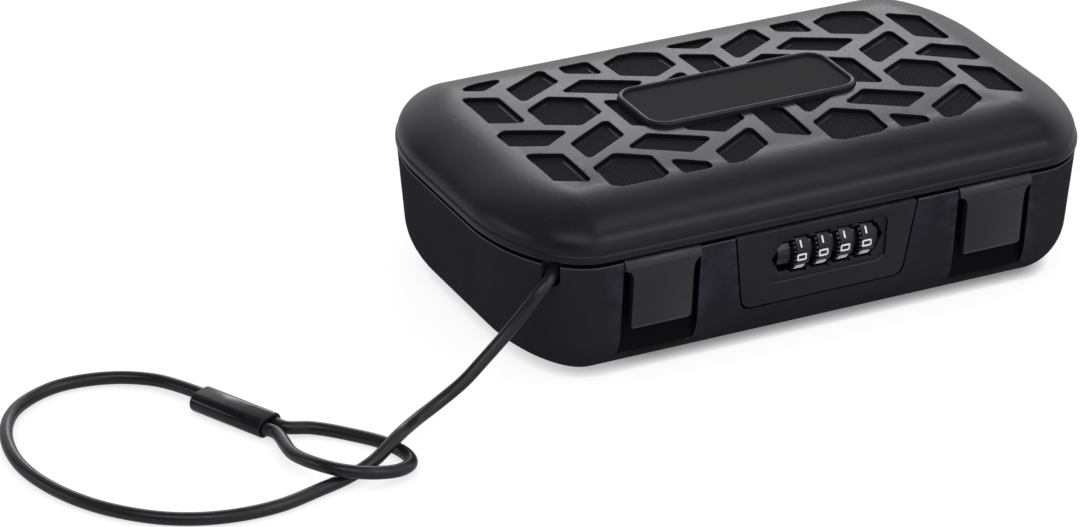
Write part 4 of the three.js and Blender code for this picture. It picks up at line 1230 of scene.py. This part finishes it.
base = {
    "wall": 3 * mm,
    "floor": 3 * mm,
    "round": 18 * mm,
    "roundSteps": 16,
    "rimChamfer": 0.4 * mm,
    "chamferSoft": 0.3,
    "tongueHeight": 2 * mm,
    "tongueOut": 1.9 * mm,
    "tongueChamfer": 0.3 * mm,
    "tongueGap": 0.3 * mm,
    "hollowOver": 4 * mm,
    "panelHalf": 39 * mm,
    "backingHalf": 17.7 * mm,
    "backingTo": -61.5 * mm,
    "recessFrom": -69.2 * mm,
    "openingFrom": -71 * mm,
    "openingTo": -60 * mm,
    "notchWidth": 7 * mm,
    "notchFoot": 3.8 * mm,
    "notchReach": 8 * mm,
    "notchTop": 20 * mm,
    "notchShade": 7 * mm,
    "anchorHalf": 5.5 * mm,
    "anchorBack": 13 * mm,
    "anchorFoot": -20 * mm,
    "anchorRise": 4.2 * mm,
    "clearFront": -80 * mm,
    "clearTop": 60 * mm,
}

panel = {
    "topHalf": 35.2 * mm,
    "footHalf": 31.3 * mm,
    "top": -0.4 * mm,
    "foot": -29 * mm,
    "shift": -1.6 * mm,
    "corner": 4 * mm,
    "cornerSteps": 8,
    "seam": 0.6 * mm,
    "over": 3 * mm,
    "front": -6 * mm,
    "back": 9 * mm,
}
ontoFront = (Matrix.Translation((0, -case["halfWidth"], case["parting"]))
             @ Matrix.Rotation(case["wallLean"], 4, "X"))


def bowlRings(wall, floor, radius):
    rings = []
    for step in range(base["roundSteps"] + 1):
        turn = math.pi / 2 * step / base["roundSteps"]
        z = floor + radius * (1 - math.cos(turn))
        drawnIn = case["draft"] * (1 - z / case["parting"])
        rings.append((wall + drawnIn + radius * (1 - math.sin(turn)), z))
    return rings


# The panel's outline and its seam with the foot corners rounded, as a block through the wall
def panelBlock():
    grow = panel["seam"]
    foot, bottom = panel["footHalf"] + grow, panel["foot"] - grow
    top = panel["top"] + grow + panel["over"]
    lean = (panel["topHalf"] - panel["footHalf"]) / (panel["top"] - panel["foot"])
    half = panel["topHalf"] + grow + lean * (top - panel["top"])
    corners = []
    for sign in (-1, 1):
        upper, lower = Vector((sign * half, top)), Vector((sign * foot, bottom))
        along = (upper - lower).normalized() * panel["corner"]
        inward = Vector((-sign * panel["corner"], 0))
        arc = [upper]
        for step in range(panel["cornerSteps"] + 1):
            t = step / panel["cornerSteps"]
            arc.append((lower + along) * (1 - t) ** 2 + lower * 2 * t * (1 - t)
                       + (lower + inward) * t ** 2)
        corners.append(arc)
    outline = [(corner.x + panel["shift"], panel["front"], corner.y)
               for corner in corners[0] + corners[1][::-1]]
    way = (0, panel["back"] - panel["front"], 0)
    return profileHelper("panelOpening", outline, way, ontoFront)


# Open-topped slot with a round foot, along the cable's way
def notchBlock():
    half, reach, top = base["notchWidth"] / 2, base["notchReach"], base["notchTop"]
    middle = half - base["notchFoot"]
    turns = [math.pi * (1 + step / 16) for step in range(17)]
    outline = [(half * math.cos(turn), -reach, middle + half * math.sin(turn)) for turn in turns]
    outline += [(half, -reach, top), (-half, -reach, top)]
    return profileHelper("cableNotch", outline, (0, reach * 2, 0), exitFrame())


# 0 for the plain wall, 1 for painted shade on what lies in the dark, and 2 for a painted highlight on
# the rim's chamfer
def basePaintedLight(face, place, level):
    x, y, z = face.center
    parting = case["parting"]
    beside = min(abs(x - centre) for centre in latches["centres"])
    inRecess = (beside < latches["recessWidth"] / 2 + 0.1 * mm
                and base["recessFrom"] < y < base["backingTo"])
    if not inRecess and parting - base["rimChamfer"] < z < parting and abs(face.normal.z) < 0.95:
        return 2
    inNotch = ((face.center - place * mm).length < base["notchShade"]
               and abs(face.normal.dot(level)) < 0.7)
    inOpening = (abs(face.normal.y) < 0.5 and abs(x - panel["shift"]) < base["panelHalf"]
                 and base["openingFrom"] < y < base["openingTo"])
    return int(inRecess or z > parting - 0.01 * mm or inNotch or inOpening)


def buildBase():
    parting, chamfer, wall = case["parting"], base["rimChamfer"], base["wall"]
    front, top = base["clearFront"], base["clearTop"]
    soft, tongueTop = chamfer * base["chamferSoft"], parting + base["tongueHeight"]
    rings = bowlRings(0, 0, base["round"])
    rings += [(case["draft"] * chamfer / parting, parting - chamfer), (soft, parting - soft),
              (chamfer, parting), (base["tongueOut"], parting),
              (base["tongueOut"], tongueTop - base["tongueChamfer"]),
              (base["tongueOut"] + base["tongueChamfer"], tongueTop)]
    shell = helperFrom(loftRings(rings), "baseShape")
    inner = bowlRings(wall, base["floor"], base["round"] - wall)
    inner += [(wall, parting), (wall, parting + base["hollowOver"])]
    hollow = helperFrom(loftRings(inner), "baseHollow")
    for centre in latches["centres"]:
        carve(hollow, boxAbout("recessBacking", centre, base["backingHalf"], front,
                               base["backingTo"], -1 * mm, top))
    anchor = boxAbout("cableAnchor", 0, base["anchorHalf"], -base["anchorBack"], 0,
                      base["anchorFoot"], base["anchorRise"])
    anchor.data.transform(exitFrame())
    carve(hollow, anchor)
    carve(shell, hollow)
    half, back = latches["recessWidth"] / 2, base["openingTo"]
    for centre in latches["centres"]:
        carve(shell, boxAbout("latchRecess", centre, half, front,
                              -case["halfWidth"] + latches["recessDepth"],
                              latches["recessFoot"], top))
        carve(shell, boxAbout("armWindow", centre, latches["windowHalf"], latches["windowFront"],
                              latches["windowBack"], latches["windowFoot"], top))
        carve(shell, boxAbout("latchTongueGap", centre, half + base["tongueGap"], front, back,
                              parting, top))
        carve(shell, barHelper("pinBore", latches["pinBore"], centre - latches["pinReach"],
                               centre + latches["pinReach"], latches["barrelY"],
                               latches["barrelZ"], 24))
    carve(shell, boxAbout("panelTongueGap", 0, base["panelHalf"], front, back, parting, top))
    carve(shell, panelBlock())
    carve(shell, notchBlock())
    fitHinges(shell, "base", "lid", -1)
    place, _, level = exitPlace()
    for face in shell.data.polygons:
        index = basePaintedLight(face, place, level)
        if index:
            face.material_index = index
    return meshOf(shell)


addShell("baseShell", buildBase(), "case", inPlastic("case", "paintedShade", "paintedHighlight"),
         "base_shell")
print("base made")


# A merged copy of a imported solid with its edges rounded
def dressedCopy(node, name, body, materials, edgeRound, paintsWallLight=False, lift=0):
    bm = bmesh.new()
    bm.from_mesh(nodes[node].data)
    bmesh.ops.remove_doubles(bm, verts=bm.verts, dist=0.0005 * mm)
    tidyFlats(bm, math.radians(1))
    bmesh.ops.recalc_face_normals(bm, faces=bm.faces)
    sharp = [edge for edge in bm.edges if edge.calc_face_angle(0) > math.radians(30)]
    bevelEdges(bm, sharp, edgeRound, segments=2, clamp=True)
    if lift:
        for vert in bm.verts:
            vert.co.z += max(0, vert.co.z - latches["tabFrom"]) * lift
    mesh = meshFrom(bm, name)
    outwards = ontoFront.to_3x3() @ Vector((0, -1, 0))
    # Where asked, walls that face down or sideways get painted shade, and walls that face up a painted
    # highlight
    for face in mesh.polygons:
        wall = paintsWallLight and abs(face.normal.dot(outwards)) < 0.75
        face.material_index = (1 if face.normal.z < 0.4 else 2) if wall else 0
    shadeByAngle(mesh, 40)
    addPiece(name, mesh, body, materials, node, centred=False)


dressedCopy("lock_panel", "lockPanel", "case",
            inPlastic("panel", "paintedShade", "paintedHighlight"), 0.22 * mm, paintsWallLight=True)
for side in ("left", "right"):
    dressedCopy(f"latch_{side}", f"latch{side.title()}", f"latch_{side}",
                inPlastic("latch"), 0.35 * mm, lift=latches["tabLift"])
print("panel and latches made")


dials = {
    "radius": 8 * mm,
    "width": 6 * mm,
    "sides": 10,
    "edge": 0.75 * mm,
    "rimEdge": 0.25 * mm,
    "neckRadius": 5.6 * mm,
    "neckWidth": 2.2 * mm,
    "bore": 4.6 * mm,
    "over": 1 * mm,
    "teeth": 30,
    "toothGap": 1.0 * mm,
    "toothLong": 0.85 * mm,
    "toothDeep": 1.3 * mm,
    "grooveWide": 0.32 * mm,
    "grooveRadius": 6.7 * mm,
    "sink": 6.5 * mm,
    "drop": 12.4 * mm,
    "pitch": 8.5 * mm,
    "middle": 1.4 * mm,
    "digitWide": 3.7 * mm,
    "digitTall": 2.65 * mm,
    "stroke": 0.6 * mm,
    "strokeRound": 0.9,
    "paint": 0.04 * mm,
}
# Which strokes each digit has: top, two uppers, middle, two lowers, foot, and the lone one of 1
digitStrokes = ("11101110", "00000001", "10111010", "10110110", "01110100",
                "11010110", "11011110", "10100100", "11111110", "11110110")


def addStroke(bm, start, end):
    half = dials["stroke"] / 2
    low = Vector((min(start[0], end[0]) - half, min(start[1], end[1]) - half))
    high = Vector((max(start[0], end[0]) + half, max(start[1], end[1]) + half))
    verts = addBox(bm, low.x, high.x, -dials["paint"], dials["paint"], low.y, high.y)
    across = edgesAlong(uniqueEdges(verts), 1, dials["paint"])
    bevelEdges(bm, across, half * dials["strokeRound"], segments=3)


def addDigit(bm, digit):
    x = dials["digitWide"] / 2 - dials["stroke"] / 2
    z = dials["digitTall"] / 2 - dials["stroke"] / 2
    strokes = (((-x, z), (x, z)), ((-x, 0), (-x, z)), ((x, 0), (x, z)), ((-x, 0), (x, 0)),
               ((-x, -z), (-x, 0)), ((x, -z), (x, 0)), ((-x, -z), (x, -z)), ((0, -z), (0, z)))
    for stroke, wanted in zip(strokes, digitStrokes[digit]):
        if wanted == "1":
            addStroke(bm, *stroke)


# The wheel, with grip notches and a groove at its left rim, a neck and a bore; the notches and groove
# get painted shade, and the tooth tips a painted highlight
def buildWheel():
    half, radius, over = dials["width"] / 2, dials["radius"], dials["over"]
    bm = bmesh.new()
    alongX = (Matrix.Rotation(math.pi / dials["sides"], 4, "X")
              @ Matrix.Rotation(math.pi / 2, 4, "Y"))
    bmesh.ops.create_cone(bm, cap_ends=True, segments=dials["sides"], radius1=radius,
                          radius2=radius, depth=dials["width"], matrix=alongX)
    bevelEdges(bm, edgesAlong(bm.edges, 0, half), dials["edge"], segments=2)
    rims = [edge for edge in bm.edges if abs(edge.verts[0].co.x - edge.verts[1].co.x) < 1e-6]
    bevelEdges(bm, rims, dials["rimEdge"], segments=2)
    wheel = helperFrom(bm, "dialWheel")
    halfGap = dials["toothGap"] / 2
    for tooth in range(dials["teeth"]):
        gap = boxHelper("toothGap", -half - over, -half + dials["toothLong"], -halfGap, halfGap,
                        radius - dials["toothDeep"], radius + over)
        setFinish(gap.data, 2)
        gap.data.transform(Matrix.Rotation(math.tau * (tooth + 0.5) / dials["teeth"], 4, "X"))
        carve(wheel, gap)
    start = dials["toothLong"] - half
    groove = barHelper("groove", radius + over, start, start + dials["grooveWide"], 0, 0, 64)
    carve(groove, barHelper("grooveCore", dials["grooveRadius"], start - over,
                            start + over * 2, 0, 0, 64))
    setFinish(groove.data, 2)
    carve(wheel, groove)
    # The tooth tips get a painted highlight
    for face in wheel.data.polygons:
        if face.center.x < start and abs(face.normal.x) < 0.3 and face.material_index == 0:
            face.material_index = 3
    end = half + dials["neckWidth"]
    carve(wheel, barHelper("dialNeck", dials["neckRadius"], half - over, end, 0, 0, 64), "UNION")
    carve(wheel, barHelper("dialBore", dials["bore"], -half - over, end + over, 0, 0))
    return meshOf(wheel)


# The wheel with its painted digits, turned so that 0 faces the front
def buildDial():
    bm = bmesh.new()
    bm.from_mesh(buildWheel())
    flat = dials["radius"] * math.cos(math.pi / dials["sides"])
    for digit in range(dials["sides"]):
        paint = bmesh.new()
        addDigit(paint, digit)
        for face in paint.faces:
            face.material_index = 1
        turn = Matrix.Rotation(-math.tau * digit / dials["sides"], 4, "X")
        bmesh.ops.transform(paint, matrix=turn @ Matrix.Translation((0, -flat, 0)),
                            verts=paint.verts)
        pourInto(bm, paint)
    return meshFrom(bm, "dial")


dialMesh = buildDial()
for number in range(1, 5):
    x = dials["middle"] + (number - 2.5) * dials["pitch"]
    mesh = dialMesh.copy()
    mesh.transform(ontoFront @ Matrix.Translation((x, dials["sink"], -dials["drop"])))
    shadeByAngle(mesh, 40)
    addPiece(f"dial{number}", mesh, f"dial_{number}",
             [dialBlack, digitWhite, *inPlastic("paintedShade", "paintedHighlight")], f"dial_{number}")
bpy.data.meshes.remove(dialMesh)
print("dials made")


linings = {
    "baseInset": 18.3 * mm,
    "baseFoot": 3.3 * mm,
    "lidInset": 25.6 * mm,
    "lidGap": 0.3 * mm,
    "thick": 2 * mm,
    "edge": 0.7 * mm,
}


def liningMesh(name, rings):
    mesh = meshFrom(loftRings(rings), name)
    shadeByAngle(mesh, 60)
    return mesh


# Foam on the floor, with its cut edge rounded over
def buildBaseLining():
    inset, edge = linings["baseInset"], linings["edge"]
    foot, top = linings["baseFoot"], linings["baseFoot"] + linings["thick"]
    rings = [(inset + edge, foot), (inset, foot + edge * 0.5), (inset, top - edge)]
    rings += [(inset + inwards, top - short)
              for inwards, short in quarterRound(edge, (30, 60, 90))]
    return liningMesh("baseLining", rings)


# Foam under the lid's crown, which it follows on both faces
def buildLidLining():
    inset, thick, edge = linings["lidInset"], linings["thick"], linings["edge"]
    under = lid["domeTop"] - lid["topWall"] - linings["lidGap"]
    crown = crownRings(inset + edge, under)
    rings = crown[::-1]
    rings += [(inset + edge, under), (inset, under - edge * 0.4), (inset, under - thick + edge),
              (inset + edge * 0.3, under - thick + edge * 0.3), (inset + edge, under - thick)]
    rings += [(inwards, z - thick) for inwards, z in crown]
    return liningMesh("lidLining", rings)


addPiece("baseLining", buildBaseLining(), "case", [foamGrey], "base_lining")
addPiece("lidLining", buildLidLining(), "lid", [foamGrey], "lid_lining")
print("linings made")


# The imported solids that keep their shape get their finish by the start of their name
plainNodes = (
    (("code_sleeve", "detent"), sleeveBrass),
    (("latch_pin", "latch_spring"), darkSteel),
    (("latch_hook", "hinge_pin", "chassis_screw", "cable_stop"), platedSteel),
    (("lock_chassis", "reset_lever"), plastics["inside"]),
    (("dial_spindle",), dialBlack),
)
for node in nodes:
    for starts, material in plainNodes:
        if node.startswith(starts):
            slots = nodes[node].data.materials
            slots.clear()
            slots.append(material)


floorFacts = {
    "half": 6,
    "matte": (0.8, 0.8, 0.81, 1),
    "matteSeen": (0.2, 0.2, 0.205, 1),
    "glow": 0.84,
    "glowMirrored": 0.3,
    "shadowReach": 0.0045,
    "shadow": (0.1, 1, 0.62, 0),
    "shadowLeft": (-0.11, -0.06, 0.25, 1),
}


# Pale floor that shows as white to the camera; its matte part keeps the real shadow, and a painted
# contact shadow near the case, weaker to the left, lowers its glow
def makeFloor(facts):
    bm = bmesh.new()
    bmesh.ops.create_grid(bm, x_segments=1, y_segments=1, size=facts["half"])
    floor = bpy.data.objects.new("paleFloor", meshFrom(bm, "paleFloor"))
    scene.collection.objects.link(floor)
    material = bpy.data.materials.new("paleFloor")
    material.use_nodes = True
    tree = material.node_tree
    tree.nodes.clear()
    rays = addNode(tree, "LightPath").outputs
    mirrored = addMath(tree, "MAXIMUM", rays["Is Glossy Ray"], rays["Is Transmission Ray"])
    seen = addMath(tree, "MAXIMUM", rays["Is Camera Ray"], mirrored)
    matte = addNode(tree, "BsdfDiffuse")
    plug(tree, matte.inputs["Color"], mixColours(tree, seen, facts["matte"], facts["matteSeen"]))
    near = addNode(tree, "AmbientOcclusion", samples=12)
    near.inputs["Distance"].default_value = facts["shadowReach"]
    # Painted shadow: the glow is lowered where the case is near
    paintedShadow = addRange(tree, near.outputs["AO"], *facts["shadow"])
    x = splitVector(tree, addNode(tree, "TexCoord").outputs["Object"])["X"]
    paintedShadow = addMath(tree, "MULTIPLY", paintedShadow, addRange(tree, x, *facts["shadowLeft"]))
    clear = addMath(tree, "SUBTRACT", facts["glow"], paintedShadow)
    toCamera = addMath(tree, "MULTIPLY", rays["Is Camera Ray"], clear)
    glow = addNode(tree, "Emission")
    glow.inputs["Color"].default_value = (1, 1, 1, 1)
    plug(tree, glow.inputs["Strength"],
         addMath(tree, "MULTIPLY_ADD", rays["Is Glossy Ray"], facts["glowMirrored"], toCamera))
    both = addNode(tree, "AddShader")
    plug(tree, both.inputs[0], matte.outputs[0])
    plug(tree, both.inputs[1], glow.outputs[0])
    plug(tree, addNode(tree, "OutputMaterial").inputs["Surface"], both.outputs[0])
    floor.data.materials.append(material)


worldFacts = {
    "overhead": (0.45, 0.8, 1.0, 0.25),
    "left": (-0.6, 0.1, 0.05, 1.0),
    "diffuse": 0.85,
    "camera": 1.0,
}


# White to the camera; what shines sees it darker overhead and to the left
def makeWorld(facts):
    world = bpy.data.worlds.new("studio")
    scene.world = world
    world.use_nodes = True
    tree = world.node_tree
    background = tree.nodes["Background"]
    background.inputs["Color"].default_value = (1, 1, 1, 1)
    rays = addNode(tree, "LightPath").outputs
    way = splitVector(tree, addNode(tree, "TexCoord").outputs["Generated"])
    cove = addRange(tree, way["Z"], *facts["overhead"])
    side = addRange(tree, way["X"], *facts["left"])
    shining = addMath(tree, "MAXIMUM", rays["Is Glossy Ray"], rays["Is Transmission Ray"])
    mirrored = addMath(tree, "MULTIPLY", cove, side)
    indoors = addRange(tree, shining, 0, 1, facts["diffuse"], mirrored)
    plug(tree, background.inputs["Strength"],
         addRange(tree, rays["Is Camera Ray"], 0, 1, indoors, facts["camera"]))


# Area lamps that face the origin
lamps = {
    "backSoftbox": {"place": (0.84, 1.65, 0.87), "size": (0.8, 0.35), "watts": 4.6},
    "topSoftbox": {"place": (0.5, -0.25, 1.4), "size": (0.9, 0.2), "watts": 1.6},
    "frontSoftbox": {"place": (-0.75, -0.85, 1.5), "size": (1.5, 0.8), "watts": 8},
    "rightSoftbox": {"place": (0.57, -1.05, 1.08), "size": (0.8, 0.4), "watts": 3.2},
    "leftSoftbox": {"place": (-1.6, 0.6, 0.45), "size": (0.9, 0.4), "watts": 2.2},
}


def addLamp(name, facts):
    data = bpy.data.lights.new(name, "AREA")
    data.shape = "RECTANGLE"
    data.size, data.size_y = facts["size"]
    data.energy = facts["watts"]
    addAimed(name, data, facts["place"], (0, 0, 0))


makeFloor(floorFacts)
makeWorld(worldFacts)
for name, facts in lamps.items():
    addLamp(name, facts)
print("floor and lamps made")
